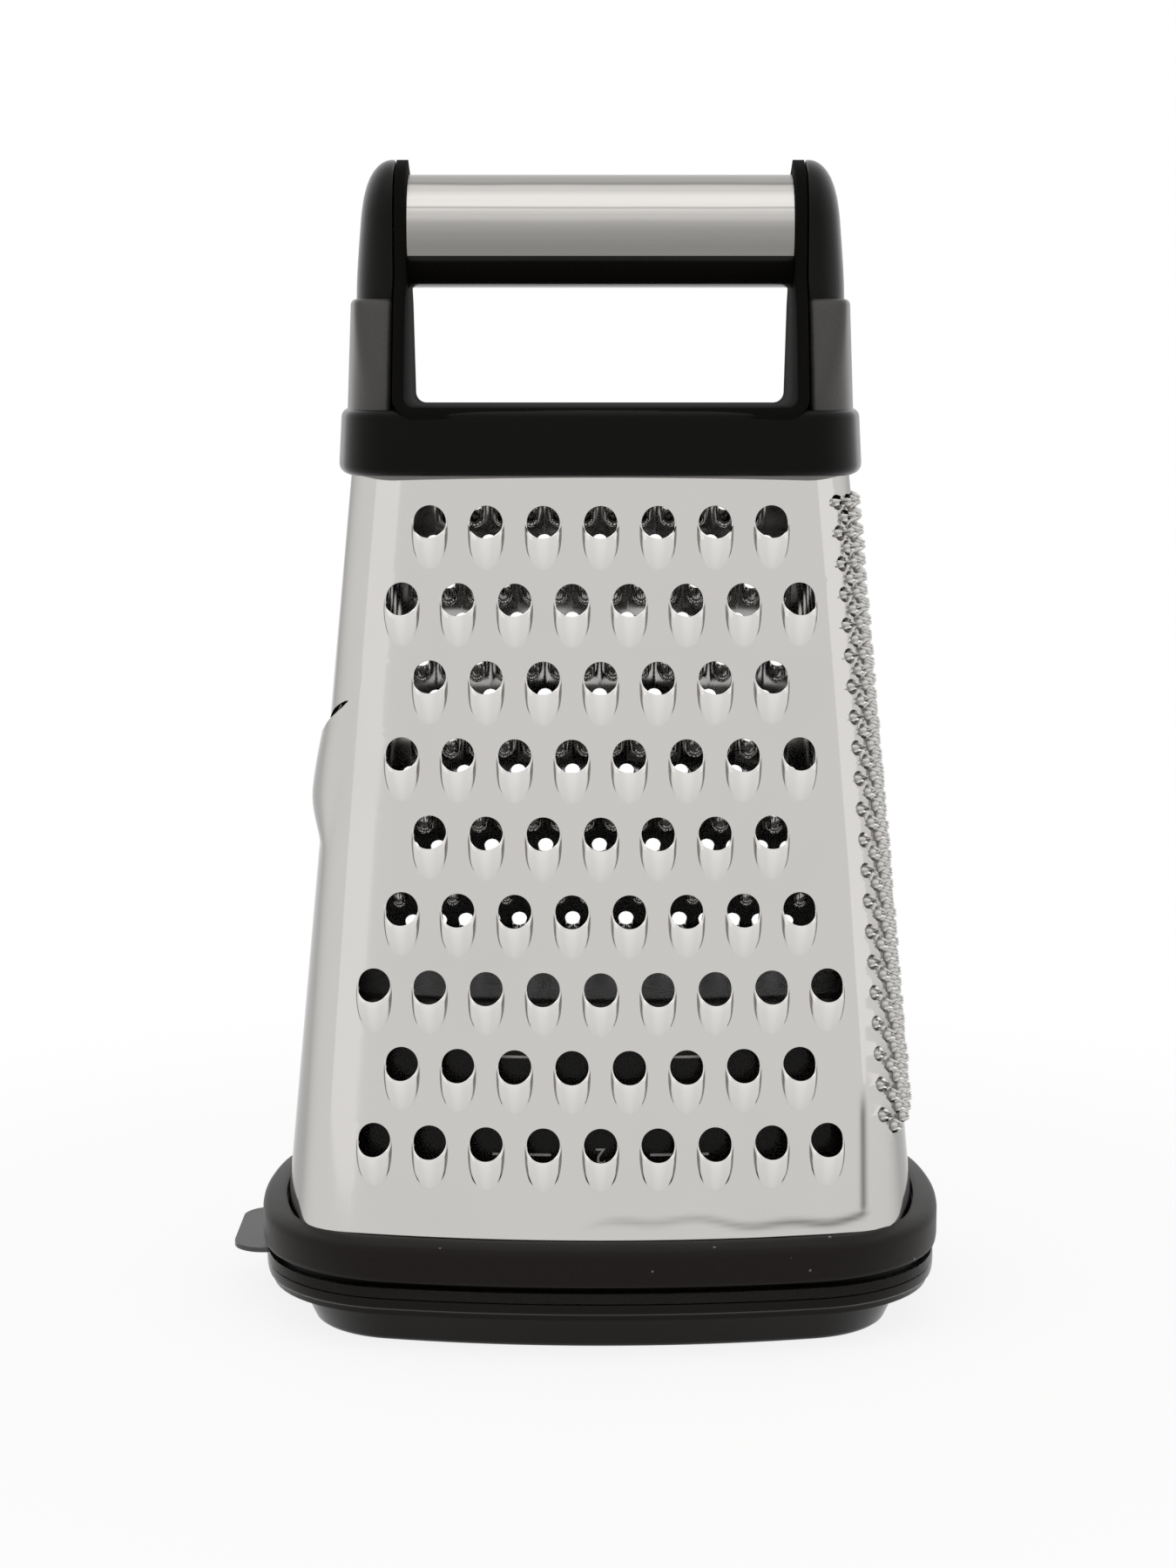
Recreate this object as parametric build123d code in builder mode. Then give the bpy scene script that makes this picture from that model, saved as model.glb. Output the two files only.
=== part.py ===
from build123d import *
import math
import os

# Box grater with a storage container and its lid, standing on the lid. Millimetres, +Z up,
# origin on the floor under the middle of the grater, the coarse side facing -Y.

os.makedirs("parts", exist_ok=True)

# Every outline seen from above is a rectangle with bowed sides and round corners.
# The collar's front is flatter than the others.
collar_bow_share = 0.03  # of the half width

# Lid: raised panel below, rim above
lid_wall = 1.6
panel_half_width = 68.4
panel_half_depth = 47.2
panel_corner = 22.0
panel_height = 8.3
panel_spread = 3.6
rim_half_width = 78.2
rim_half_depth = 55.4
rim_corner = 34.0
lid_lip_height = 1.5
lid_lip_step = 0.9
lid_rim_height = 2.6
seat_gap = 0.2

# Storage container, upside down inside the grater
container_rim = 2.3
container_wall = 1.8
container_height = 64.6
container_half_width = 69.0
container_half_depth = 46.0
container_corner = 17.0
container_draft = 5.5
container_edge = 3.0
tab_reach = 7.2
tab_half_width = 17.0
tab_thickness = 1.1
tab_corner = 9.0

# Base frame and the soft ring round it
frame_clearance = 1.2
frame_floor = 2.6
frame_height = 8.1
frame_wall = 1.9
frame_corner = 24.0
ring_lift = 1.3
ring_half_width = 79.0
ring_half_depth = 56.0
ring_corner = 36.0
ring_bevel = 1.9
ring_foot_edge = 1.0
ring_lip = 2.3
ring_mouth_half_width = 73.5
ring_mouth_half_depth = 50.1
ring_mouth_corner = 24.0

# Steel body
sheet = 0.6
steel_height = 182.5
steel_half_width = 73.7
steel_half_depth = 50.4
steel_corner = 15.0
side_slope = 0.098
front_slope = 0.140
front_bow_radius = 252.0
side_bow_radius = 108.5
edge_fit = 0.08

# Coarse holes on the front, from the top row down
coarse_hole = 7.3
coarse_pitch = 12.67
coarse_row_step = 17.0
coarse_rows = (7, 8, 7, 8, 7, 8, 9, 8, 9)
coarse_top_drop = 18.0
# Medium holes on the back
medium_hole = 3.7
medium_pitch = 6.6
medium_row_step = 9.4
medium_row_count = 15
medium_top_drop = 16.5
medium_margin = 16.0
# Zester holes on the right
zester_hole = 1.7
zester_row_step = 3.4
zester_pitch = 8.0
zester_row_count = 42
zester_top_drop = 14.0
zester_margin = 15.0
# Slicer on the left: a bulge with a slot above it
slicer_half_length = 24.0
slicer_half_height = 12.5
slicer_rise = 2.7
slicer_level = 121.5
slot_rise = 8.0
slot_opening = 3.2

# Collar and shoulders
collar_height = 14.6
collar_half_width = 59.5
collar_half_depth = 29.0
collar_corner = 13.0
collar_draft = 3.2
collar_foot_edge = 2.3
collar_top_edge = 1.7
collar_overlap = 8.0
collar_roof = 5.4
shoulder_height = 24.3
shoulder_outer = 57.4
shoulder_outer_top = 56.4
shoulder_half_depth = 26.8
shoulder_top_half_depth = 17.2

# Handle frame
opening_half_width = 43.3
web = 2.7
web_top = 262.0
web_foot_half_depth = 26.0
web_waist_half_depth = 16.0
web_waist_drop = 5.4
strip_thickness = 1.4
strip_rise = 0.6
bar_radius = 12.6
bar_level = 246.1
post_core_depth = 8.6
post_core_width = 6.5
tenon_clearance = 0.15

# End caps
cap_outer_foot = 55.0
cap_outer_top = 53.0
cap_half_depth = 15.2
cap_dome = 14.0
cap_edge = 3.0

# Grip
sleeve_wall = 0.8
grip_split_drop = 5.7
underside_wall = 2.0
grip_end_gap = 0.2

# Retainer and screws
retainer_thickness = 3.6
retainer_gap = 0.2
screw_diameter = 3.5
screw_head = 7.0
screw_head_height = 2.2
screw_bite = 14.0
screw_y = 5.2
pilot_diameter = 3.5

# One overrun for every cut
overrun = 1.0

# Levels worked out from the sizes
lid_top = panel_height + lid_lip_height + lid_rim_height
container_foot = lid_top + seat_gap
rim_top = container_foot + container_rim
container_top = container_foot + container_height
frame_foot = rim_top
frame_top = frame_foot + frame_height
ring_foot = frame_foot + ring_lift
ring_top = frame_top + ring_lip
steel_foot = frame_foot + frame_floor
frame_half_width = steel_half_width + frame_wall
frame_half_depth = steel_half_depth + frame_wall
steel_top = steel_foot + steel_height
collar_foot = steel_top - collar_overlap
collar_top = collar_foot + collar_height
shoulder_top = collar_top + shoulder_height
roof_foot = collar_top - collar_roof
retainer_top = roof_foot
retainer_foot = retainer_top - retainer_thickness
web_centre = web_top - cap_dome
grip_split = bar_level - grip_split_drop
web_outer = opening_half_width + web
screw_x = web_outer + post_core_width / 2


def bow_meeting(half_width, half_depth, front_radius, side_radius):
    """Corner (x, y) where a bowed front or back meets a bowed side."""
    front_centre = front_radius - half_depth
    side_centre = side_radius - half_width
    gap = math.hypot(side_centre, front_centre)
    along = (front_radius**2 - side_radius**2 + gap**2) / (2 * gap)
    across = math.sqrt(front_radius**2 - along**2)
    x = (across * front_centre - along * side_centre) / gap
    y = (along * front_centre + across * side_centre) / gap - front_centre
    return x, y


# The steel's bows, as shares that the other outlines follow
meeting_x, meeting_y = bow_meeting(steel_half_width, steel_half_depth, front_bow_radius, side_bow_radius)
front_bow_share = (steel_half_depth - meeting_y) / steel_half_width
side_bow_share = (steel_half_width - meeting_x) / steel_half_depth


def bowed_outline(half_width, half_depth, corner, front_share=front_bow_share):
    """Sketch of a rectangle with bowed sides and round corners, to be added to a sketch."""
    corner_x = half_width - side_bow_share * half_depth
    corner_y = half_depth - front_share * half_width
    with BuildSketch(mode=Mode.PRIVATE) as shape:
        with BuildLine():
            ThreePointArc((-corner_x, -corner_y), (0, -half_depth), (corner_x, -corner_y))
            ThreePointArc((corner_x, -corner_y), (half_width, 0), (corner_x, corner_y))
            ThreePointArc((corner_x, corner_y), (0, half_depth), (-corner_x, corner_y))
            ThreePointArc((-corner_x, corner_y), (-half_width, 0), (-corner_x, -corner_y))
        make_face()
        fillet(shape.vertices(), radius=corner)
    return shape.sketch


def steel_half_width_at(level):
    return steel_half_width - (level - steel_foot) * side_slope


def steel_half_depth_at(level):
    return steel_half_depth - (level - steel_foot) * front_slope


def steel_form(inset, low, high):
    """Tapered solid inside the steel's outer face by inset, between two levels."""
    half_width = steel_half_width_at(low) - inset
    half_depth = steel_half_depth_at(low) - inset
    front_radius = front_bow_radius - (low - steel_foot) * front_slope - inset
    side_radius = side_bow_radius - (low - steel_foot) * side_slope - inset
    reach_x = steel_half_width + steel_corner
    reach_y = steel_half_depth + steel_corner / 2
    end_y = half_depth - front_radius + math.sqrt(front_radius**2 - reach_x**2)
    end_x = half_width - side_radius + math.sqrt(side_radius**2 - reach_y**2)
    with BuildPart() as form:
        with BuildSketch(Plane.XY.offset(low)):
            with BuildLine():
                ThreePointArc((-reach_x, -end_y), (0, -half_depth), (reach_x, -end_y))
                Line((reach_x, -end_y), (reach_x, end_y))
                ThreePointArc((reach_x, end_y), (0, half_depth), (-reach_x, end_y))
                Line((-reach_x, end_y), (-reach_x, -end_y))
            make_face()
        extrude(amount=high - low, taper=math.degrees(math.atan(front_slope)))
        with BuildSketch(Plane.XY.offset(low)):
            with BuildLine():
                Line((-end_x, -reach_y), (end_x, -reach_y))
                ThreePointArc((end_x, -reach_y), (half_width, 0), (end_x, reach_y))
                Line((end_x, reach_y), (-end_x, reach_y))
                ThreePointArc((-end_x, reach_y), (-half_width, 0), (-end_x, -reach_y))
            make_face()
        side_taper = math.degrees(math.atan(side_slope))
        extrude(amount=high - low, taper=side_taper, mode=Mode.INTERSECT)
        upright = [e for e in form.edges() if e.bounding_box().size.Z > (high - low) / 2]
        fillet(upright, radius=steel_corner - inset)
    return form.part


def front_place(x, level, back=1):
    """Plane on the bowed front (back=1) or back (back=-1) face, its z axis pointing out."""
    radius = front_bow_radius - (level - steel_foot) * front_slope
    angle = math.asin(x / radius)
    y = -steel_half_depth_at(level) + radius * (1 - math.cos(angle))
    along = (back * math.cos(angle), math.sin(angle), 0)
    out = (math.sin(angle), -back * math.cos(angle), front_slope)
    return Location(Plane(origin=(x, back * y, level), x_dir=along, z_dir=out))


def side_place(y, level, side):
    """Plane on the bowed right (side=1) or left (side=-1) face, its z axis pointing out."""
    radius = side_bow_radius - (level - steel_foot) * side_slope
    angle = math.asin(y / radius)
    x = steel_half_width_at(level) - radius * (1 - math.cos(angle))
    out = (side * math.cos(angle), math.sin(angle), side_slope)
    along = (-math.sin(angle), side * math.cos(angle), 0)
    return Location(Plane(origin=(side * x, y, level), x_dir=along, z_dir=out))


def staggered(reach, pitch, row):
    """Hole places across a row of the given reach each side; every second row is half a pitch off."""
    count = 2 * math.floor(reach / pitch + (row % 2) / 2) + 1 - row % 2
    return [(column - (count - 1) / 2) * pitch for column in range(count)]


# Container lid: raised panel, rim and the hollow that the container's mouth looks into
with BuildPart() as container_lid:
    with BuildSketch():
        add(bowed_outline(panel_half_width, panel_half_depth, panel_corner))
    with BuildSketch(Plane.XY.offset(panel_height)):
        add(bowed_outline(panel_half_width + panel_spread, panel_half_depth + panel_spread, panel_corner + panel_spread))
    loft()
    with BuildSketch(Plane.XY.offset(panel_height)):
        add(bowed_outline(rim_half_width - lid_lip_step, rim_half_depth - lid_lip_step, rim_corner - lid_lip_step))
    extrude(amount=lid_lip_height)
    with BuildSketch(Plane.XY.offset(panel_height + lid_lip_height)):
        add(bowed_outline(rim_half_width, rim_half_depth, rim_corner))
    extrude(amount=lid_rim_height)
    with BuildSketch(Plane.XY.offset(lid_wall)):
        add(bowed_outline(panel_half_width - lid_wall, panel_half_depth - lid_wall, panel_corner - lid_wall))
    extrude(amount=panel_height, mode=Mode.SUBTRACT)
    mouth_half_width = container_half_width - container_wall
    mouth_half_depth = container_half_depth - container_wall
    with BuildSketch(Plane.XY.offset(panel_height - lid_wall)):
        add(bowed_outline(mouth_half_width, mouth_half_depth, container_corner - container_wall))
    extrude(amount=lid_lip_height + lid_rim_height + lid_wall + overrun, mode=Mode.SUBTRACT)
container_lid.part.label = "container_lid"
export_step(container_lid.part, "parts/container_lid.step")

# Storage container: drafted walls, floor on top because it stands upside down, rim and pull tab
with BuildPart() as storage_container:
    with BuildSketch(Plane.XY.offset(container_foot)):
        add(bowed_outline(container_half_width, container_half_depth, container_corner))
    extrude(amount=container_height, taper=container_draft)
    fillet(storage_container.faces().sort_by(Axis.Z)[-1].edges(), radius=container_edge)
    with BuildSketch(Plane.XY.offset(container_foot)):
        add(bowed_outline(rim_half_width, rim_half_depth, rim_corner))
    extrude(amount=container_rim)
    with BuildSketch(Plane.XY.offset(container_foot)) as tab_outline:
        with Locations((-rim_half_width, 0)):
            Rectangle(2 * tab_reach, 2 * tab_half_width)
        fillet(tab_outline.vertices().group_by(Axis.X)[0], radius=min(tab_corner, tab_reach))
    extrude(amount=tab_thickness)
    with BuildSketch(Plane.XY.offset(container_foot)):
        add(bowed_outline(mouth_half_width, mouth_half_depth, container_corner - container_wall))
    cavity_height = container_height - container_wall
    extrude(amount=cavity_height, taper=container_draft, mode=Mode.SUBTRACT)
storage_container.part.label = "storage_container"
export_step(storage_container.part, "parts/storage_container.step")

# Steel body: one thin sheet, perforated on all four sides
with BuildPart() as steel_body:
    add(steel_form(0, steel_foot, steel_top))
    add(steel_form(sheet, steel_foot - overrun, steel_top + overrun), mode=Mode.SUBTRACT)

    # Slicer: a bulge turned about an axis inside the wall, hollow, with a slot above
    bulge_radius = (slicer_half_height**2 + slicer_rise**2) / (2 * slicer_rise)
    bulge_axis = bulge_radius - slicer_rise
    slicer_wall = side_place(0, slicer_level, -1)
    with BuildPart(mode=Mode.PRIVATE) as bulge:
        with BuildSketch(Plane.XZ):
            with BuildLine():
                start = (-slicer_half_length, 0)
                ThreePointArc(start, (0, slicer_rise), (slicer_half_length, 0))
                Polyline((slicer_half_length, 0), (slicer_half_length, -bulge_axis), (-slicer_half_length, -bulge_axis), start)
            make_face()
        revolve(axis=Axis((0, 0, -bulge_axis), (1, 0, 0)))
    with BuildPart(mode=Mode.PRIVATE) as bulge_hollow:
        inner_length = slicer_half_length - 2 * sheet
        inner_rise = slicer_rise - sheet
        with BuildSketch(Plane.XZ):
            with BuildLine():
                start = (-inner_length, -sheet)
                ThreePointArc(start, (0, inner_rise), (inner_length, -sheet))
                Polyline((inner_length, -sheet), (inner_length, -bulge_axis), (-inner_length, -bulge_axis), start)
            make_face()
        revolve(axis=Axis((0, 0, -bulge_axis), (1, 0, 0)))
    with BuildPart(mode=Mode.PRIVATE) as bulge_skin:
        add(bulge.part)
        add(bulge_hollow.part, mode=Mode.SUBTRACT)
        with Locations((0, 0, -sheet / 2)):
            Box(
                4 * slicer_half_length,
                8 * slicer_half_height,
                4 * bulge_radius,
                align=(Align.CENTER, Align.CENTER, Align.MAX),
                mode=Mode.SUBTRACT,
            )
    with BuildPart(mode=Mode.PRIVATE) as bulge_opening:
        add(bulge_hollow.part)
        with Locations((0, 0, -sheet - slicer_rise)):
            Box(
                4 * slicer_half_length,
                8 * slicer_half_height,
                4 * bulge_radius,
                align=(Align.CENTER, Align.CENTER, Align.MAX),
                mode=Mode.SUBTRACT,
            )
    with Locations(slicer_wall):
        add(bulge_opening.part, mode=Mode.SUBTRACT)
        add(bulge_skin.part)
    slot_foot = slicer_half_height - slot_opening / 4
    with BuildSketch(Plane(slicer_wall)):
        with BuildLine():
            ends = slot_foot + slot_rise
            ThreePointArc((-slicer_half_length, ends), (0, slot_foot), (slicer_half_length, ends))
            upper_middle = slot_foot + slot_opening
            ThreePointArc((slicer_half_length, ends), (0, upper_middle), (-slicer_half_length, ends))
        make_face()
    extrude(amount=slicer_rise + overrun, both=True, mode=Mode.SUBTRACT)

    # Coarse holes
    coarse_places = []
    for row, count in enumerate(coarse_rows):
        level = steel_top - coarse_top_drop - row * coarse_row_step
        for column in range(count):
            coarse_places.append(front_place((column - (count - 1) / 2) * coarse_pitch, level))
    with Locations(*coarse_places):
        Cylinder(coarse_hole / 2, 4 * sheet, mode=Mode.SUBTRACT)

    # Medium holes, drawn with six sides to keep the sheet light
    medium_places = []
    for row in range(medium_row_count):
        level = steel_top - medium_top_drop - row * medium_row_step
        for x in staggered(steel_half_width_at(level) - medium_margin, medium_pitch, row + 1):
            medium_places.append(front_place(x, level, -1))
    with BuildPart(mode=Mode.PRIVATE) as medium_pin:
        with BuildSketch():
            RegularPolygon(medium_hole / 2, 6)
        extrude(amount=2 * sheet, both=True)
    with Locations(*medium_places):
        add(medium_pin.part, mode=Mode.SUBTRACT)

    # Zester holes, square on edge
    zester_places = []
    for row in range(zester_row_count):
        level = steel_top - zester_top_drop - row * zester_row_step
        for y in staggered(steel_half_depth_at(level) - zester_margin, zester_pitch, row):
            zester_places.append(side_place(y, level, 1))
    with BuildPart(mode=Mode.PRIVATE) as zester_pin:
        with BuildSketch():
            RegularPolygon(zester_hole / 2, 4)
        extrude(amount=2 * sheet, both=True)
    with Locations(*zester_places):
        add(zester_pin.part, mode=Mode.SUBTRACT)
steel_body.part.label = "steel_body"
export_step(steel_body.part, "parts/steel_body.step")

# Base frame: channel round the bottom edge of the steel
with BuildPart() as base_frame:
    with BuildSketch(Plane.XY.offset(frame_foot)):
        add(bowed_outline(frame_half_width, frame_half_depth, frame_corner))
        mouth = bowed_outline(
            container_half_width + frame_clearance,
            container_half_depth + frame_clearance,
            container_corner + frame_clearance,
        )
        add(mouth, mode=Mode.SUBTRACT)
    extrude(amount=frame_height)
    add(steel_form(-edge_fit, steel_foot, frame_top + overrun), mode=Mode.SUBTRACT)
    with BuildPart(mode=Mode.PRIVATE) as tongue:
        with BuildSketch(Plane.XY.offset(steel_foot)):
            add(mouth, mode=Mode.ADD)
        extrude(amount=frame_height)
    with BuildPart(mode=Mode.PRIVATE) as inner_lip:
        add(steel_form(sheet + edge_fit, steel_foot, frame_top))
        add(tongue.part, mode=Mode.SUBTRACT)
    add(inner_lip.part)
base_frame.part.label = "base_frame"
export_step(base_frame.part, "parts/base_frame.step")

# Soft ring round the base frame
with BuildPart() as base_ring:
    with BuildSketch(Plane.XY.offset(ring_foot)):
        add(bowed_outline(ring_half_width, ring_half_depth, ring_corner))
    extrude(amount=ring_top - ring_foot)
    chamfer(base_ring.faces().sort_by(Axis.Z)[-1].edges(), length=ring_bevel)
    fillet(base_ring.faces().sort_by(Axis.Z)[0].edges(), radius=ring_foot_edge)
    with BuildSketch(Plane.XY.offset(ring_foot - overrun)):
        add(bowed_outline(frame_half_width, frame_half_depth, frame_corner))
    extrude(amount=frame_top - ring_foot + overrun, mode=Mode.SUBTRACT)
    with BuildSketch(Plane.XY.offset(frame_top - overrun)):
        add(bowed_outline(ring_mouth_half_width, ring_mouth_half_depth, ring_mouth_corner))
    extrude(amount=ring_lip + 2 * overrun, mode=Mode.SUBTRACT)
    add(steel_form(-edge_fit, ring_foot, ring_top + overrun), mode=Mode.SUBTRACT)
base_ring.part.label = "base_ring"
export_step(base_ring.part, "parts/base_ring.step")

# Column above the collar's top outline, which the shoulders and the webs keep inside
with BuildPart() as column:
    with BuildSketch(Plane.XY.offset(roof_foot)):
        inward = collar_top_edge + collar_height * math.tan(math.radians(collar_draft))
        top_half_width = collar_half_width - inward
        top_half_depth = collar_half_depth - inward
        add(bowed_outline(top_half_width, top_half_depth, collar_corner - inward, collar_bow_share))
    extrude(amount=web_top - roof_foot + overrun)
handle_column = column.part

# Top collar: band over the steel, roof, and two hollow shoulders
with BuildPart() as top_collar:
    with BuildSketch(Plane.XY.offset(collar_foot)):
        add(bowed_outline(collar_half_width, collar_half_depth, collar_corner, collar_bow_share))
    extrude(amount=collar_height, taper=collar_draft)
    fillet(top_collar.faces().sort_by(Axis.Z)[-1].edges(), radius=collar_top_edge)
    fillet(top_collar.faces().sort_by(Axis.Z)[0].edges(), radius=collar_foot_edge)
    for side in (-1, 1):
        with BuildPart(mode=Mode.PRIVATE) as shoulder:
            with BuildSketch(Plane.XY.offset(collar_top)):
                with Locations((side * (shoulder_outer + web_outer) / 2, 0)):
                    Rectangle(shoulder_outer - web_outer, 2 * shoulder_half_depth)
            with BuildSketch(Plane.XY.offset(shoulder_top)):
                with Locations((side * (shoulder_outer_top + web_outer) / 2, 0)):
                    Rectangle(shoulder_outer_top - web_outer, 2 * shoulder_top_half_depth)
            loft(ruled=True)
            add(handle_column, mode=Mode.INTERSECT)
        add(shoulder.part)
        # the hollow that takes the tenon, also through the roof
        socket_depth = 2 * (post_core_depth + tenon_clearance)
        with BuildSketch(Plane.XY.offset(roof_foot - overrun)):
            with Locations((side * (web_outer + post_core_width / 2 + tenon_clearance / 2), 0)):
                Rectangle(post_core_width + tenon_clearance, socket_depth)
        extrude(amount=shoulder_top - roof_foot + 2 * overrun, mode=Mode.SUBTRACT)
    add(steel_form(-edge_fit, collar_foot - overrun, roof_foot), mode=Mode.SUBTRACT)
    with BuildSketch(Plane.XY.offset(collar_top - strip_thickness)):
        Rectangle(2 * opening_half_width, 2 * web_foot_half_depth)
    extrude(amount=strip_thickness + overrun, mode=Mode.SUBTRACT)
    with BuildSketch(Plane.XY.offset(collar_top - strip_thickness)):
        with Locations((web_outer - web / 2, 0), (-web_outer + web / 2, 0)):
            Rectangle(web, 2 * web_foot_half_depth)
    extrude(amount=strip_thickness + overrun, mode=Mode.SUBTRACT)
top_collar.part.label = "top_collar"
export_step(top_collar.part, "parts/top_collar.step")

# Handle frame: two webs, the strip along the opening's foot, the bar's core and the post cores
with BuildPart() as handle_frame:
    strip_foot = collar_top - strip_thickness
    web_waist = shoulder_top + web_waist_drop
    for side in (-1, 1):
        with BuildSketch(Plane.YZ.offset(side * (web_outer - web / 2))) as web_outline:
            with BuildLine():
                Polyline(
                    (-cap_dome, web_centre),
                    (-cap_dome, web_waist),
                    (-web_waist_half_depth, shoulder_top),
                    (-web_foot_half_depth, collar_top),
                    (-web_foot_half_depth, strip_foot),
                    (web_foot_half_depth, strip_foot),
                    (web_foot_half_depth, collar_top),
                    (web_waist_half_depth, shoulder_top),
                    (cap_dome, web_waist),
                    (cap_dome, web_centre),
                )
                ThreePointArc((cap_dome, web_centre), (0, web_top), (-cap_dome, web_centre))
            make_face()
        extrude(amount=web / 2, both=True)
        with Locations((side * screw_x, 0, (retainer_top + web_centre) / 2)):
            Box(post_core_width, 2 * post_core_depth, web_centre - retainer_top)
    with Locations((0, 0, strip_foot + (strip_thickness + strip_rise) / 2)):
        Box(2 * opening_half_width, 2 * web_foot_half_depth, strip_thickness + strip_rise)
    add(handle_column, mode=Mode.INTERSECT)
    with BuildSketch(Plane.YZ):
        with Locations((0, bar_level)):
            Circle(bar_radius - underside_wall)
    extrude(amount=opening_half_width, both=True)
    with Locations(*[(side * screw_x, y, retainer_top) for side in (-1, 1) for y in (-screw_y, screw_y)]):
        Cylinder(pilot_diameter / 2, 2 * (screw_bite + overrun), mode=Mode.SUBTRACT)
handle_frame.part.label = "handle_frame"
export_step(handle_frame.part, "parts/handle_frame.step")

# End caps: rounded outer shells over the post cores
for name, side in (("end_cap_left", -1), ("end_cap_right", 1)):
    with BuildPart() as end_cap:
        with BuildSketch(Plane.YZ.offset(side * web_outer)):
            with BuildLine():
                Polyline(
                    (-cap_dome, web_centre),
                    (-cap_half_depth, shoulder_top),
                    (cap_half_depth, shoulder_top),
                    (cap_dome, web_centre),
                )
                ThreePointArc((cap_dome, web_centre), (0, web_top), (-cap_dome, web_centre))
            make_face()
        extrude(amount=side * (cap_outer_foot - web_outer))
        # lean of the outer face
        with BuildSketch(Plane.XZ):
            with BuildLine():
                Polyline(
                    (side * cap_outer_foot, shoulder_top),
                    (side * (cap_outer_foot + overrun), shoulder_top),
                    (side * (cap_outer_foot + overrun), web_top + overrun),
                    (side * cap_outer_top, web_top + overrun),
                    close=True,
                )
            make_face()
        extrude(amount=2 * cap_dome, both=True, mode=Mode.SUBTRACT)
        outer_face = end_cap.faces().sort_by(Axis.X)[-1 if side > 0 else 0]
        upper = outer_face.edges().filter_by(lambda e: e.center().Z > shoulder_top + cap_edge)
        fillet(upper, radius=cap_edge)
        with Locations((side * screw_x, 0, (shoulder_top + web_centre) / 2)):
            Box(
                post_core_width + 2 * tenon_clearance,
                2 * (post_core_depth + tenon_clearance),
                web_centre - shoulder_top + 2 * tenon_clearance,
                mode=Mode.SUBTRACT,
            )
    end_cap.part.label = name
    export_step(end_cap.part, f"parts/{name}.step")

# Grip sleeve: thin steel wrapped round the upper side of the bar
grip_length = 2 * (opening_half_width - grip_end_gap)
with BuildPart() as grip_sleeve:
    with BuildSketch(Plane.YZ):
        with Locations((0, bar_level)):
            Circle(bar_radius)
            Circle(bar_radius - sleeve_wall, mode=Mode.SUBTRACT)
        with Locations((0, grip_split)):
            Rectangle(4 * bar_radius, 2 * bar_radius, align=(Align.CENTER, Align.MAX), mode=Mode.SUBTRACT)
    extrude(amount=grip_length / 2, both=True)
grip_sleeve.part.label = "grip_sleeve"
export_step(grip_sleeve.part, "parts/grip_sleeve.step")

# Grip underside: strip below the steel, with a liner that backs the sleeve
with BuildPart() as grip_underside:
    with BuildSketch(Plane.YZ):
        with Locations((0, bar_level)):
            Circle(bar_radius)
        with Locations((0, grip_split)):
            Rectangle(4 * bar_radius, 4 * bar_radius, align=(Align.CENTER, Align.MIN), mode=Mode.SUBTRACT)
        with Locations((0, bar_level)):
            Circle(bar_radius - sleeve_wall)
            Circle(bar_radius - underside_wall, mode=Mode.SUBTRACT)
    extrude(amount=grip_length / 2, both=True)
grip_underside.part.label = "grip_underside"
export_step(grip_underside.part, "parts/grip_underside.step")

# Inner retainer: plate inside the steel, under the collar's roof
screw_places = [(side * screw_x, y) for side in (-1, 1) for y in (-screw_y, screw_y)]
with BuildPart() as inner_retainer:
    add(steel_form(sheet + retainer_gap, retainer_foot, retainer_top))
    with BuildSketch(Plane.XY.offset(retainer_foot - overrun)):
        with Locations(*screw_places):
            Circle(screw_diameter / 2)
    extrude(amount=retainer_thickness + 2 * overrun, mode=Mode.SUBTRACT)
inner_retainer.part.label = "inner_retainer"
export_step(inner_retainer.part, "parts/inner_retainer.step")

# Retainer screws: four, heads under the plate
with BuildPart() as retainer_screws:
    with Locations(*[(x, y, retainer_foot) for x, y in screw_places]):
        Cylinder(screw_head / 2, screw_head_height, align=(Align.CENTER, Align.CENTER, Align.MAX))
        Cylinder(
            screw_diameter / 2,
            retainer_thickness + screw_bite,
            align=(Align.CENTER, Align.CENTER, Align.MIN),
        )
retainer_screws.part.label = "retainer_screws"
export_step(retainer_screws.part, "parts/retainer_screws.step")
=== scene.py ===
import bpy, bmesh, math, random
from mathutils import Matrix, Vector


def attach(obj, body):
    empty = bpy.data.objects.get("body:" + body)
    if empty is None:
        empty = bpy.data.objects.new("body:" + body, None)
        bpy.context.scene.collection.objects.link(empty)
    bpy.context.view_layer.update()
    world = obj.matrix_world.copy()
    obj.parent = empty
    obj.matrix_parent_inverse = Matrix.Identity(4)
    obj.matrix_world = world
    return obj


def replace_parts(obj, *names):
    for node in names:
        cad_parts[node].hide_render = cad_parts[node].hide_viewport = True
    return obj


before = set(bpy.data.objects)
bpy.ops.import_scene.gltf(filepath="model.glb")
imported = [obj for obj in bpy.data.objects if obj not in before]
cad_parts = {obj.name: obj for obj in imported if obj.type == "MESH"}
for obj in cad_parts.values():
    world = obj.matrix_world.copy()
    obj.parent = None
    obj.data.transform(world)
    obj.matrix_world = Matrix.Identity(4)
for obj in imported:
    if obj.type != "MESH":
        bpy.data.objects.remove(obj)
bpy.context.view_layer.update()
mm = 0.001      # the pieces' sizes are in millimetres, and this turns them into the scene's metres
print("frame loaded", sorted(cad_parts))


bow = {"front": 0.117, "side": 0.166, "collarFront": 0.03}     # rise of the bowed sides, as shares


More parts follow.
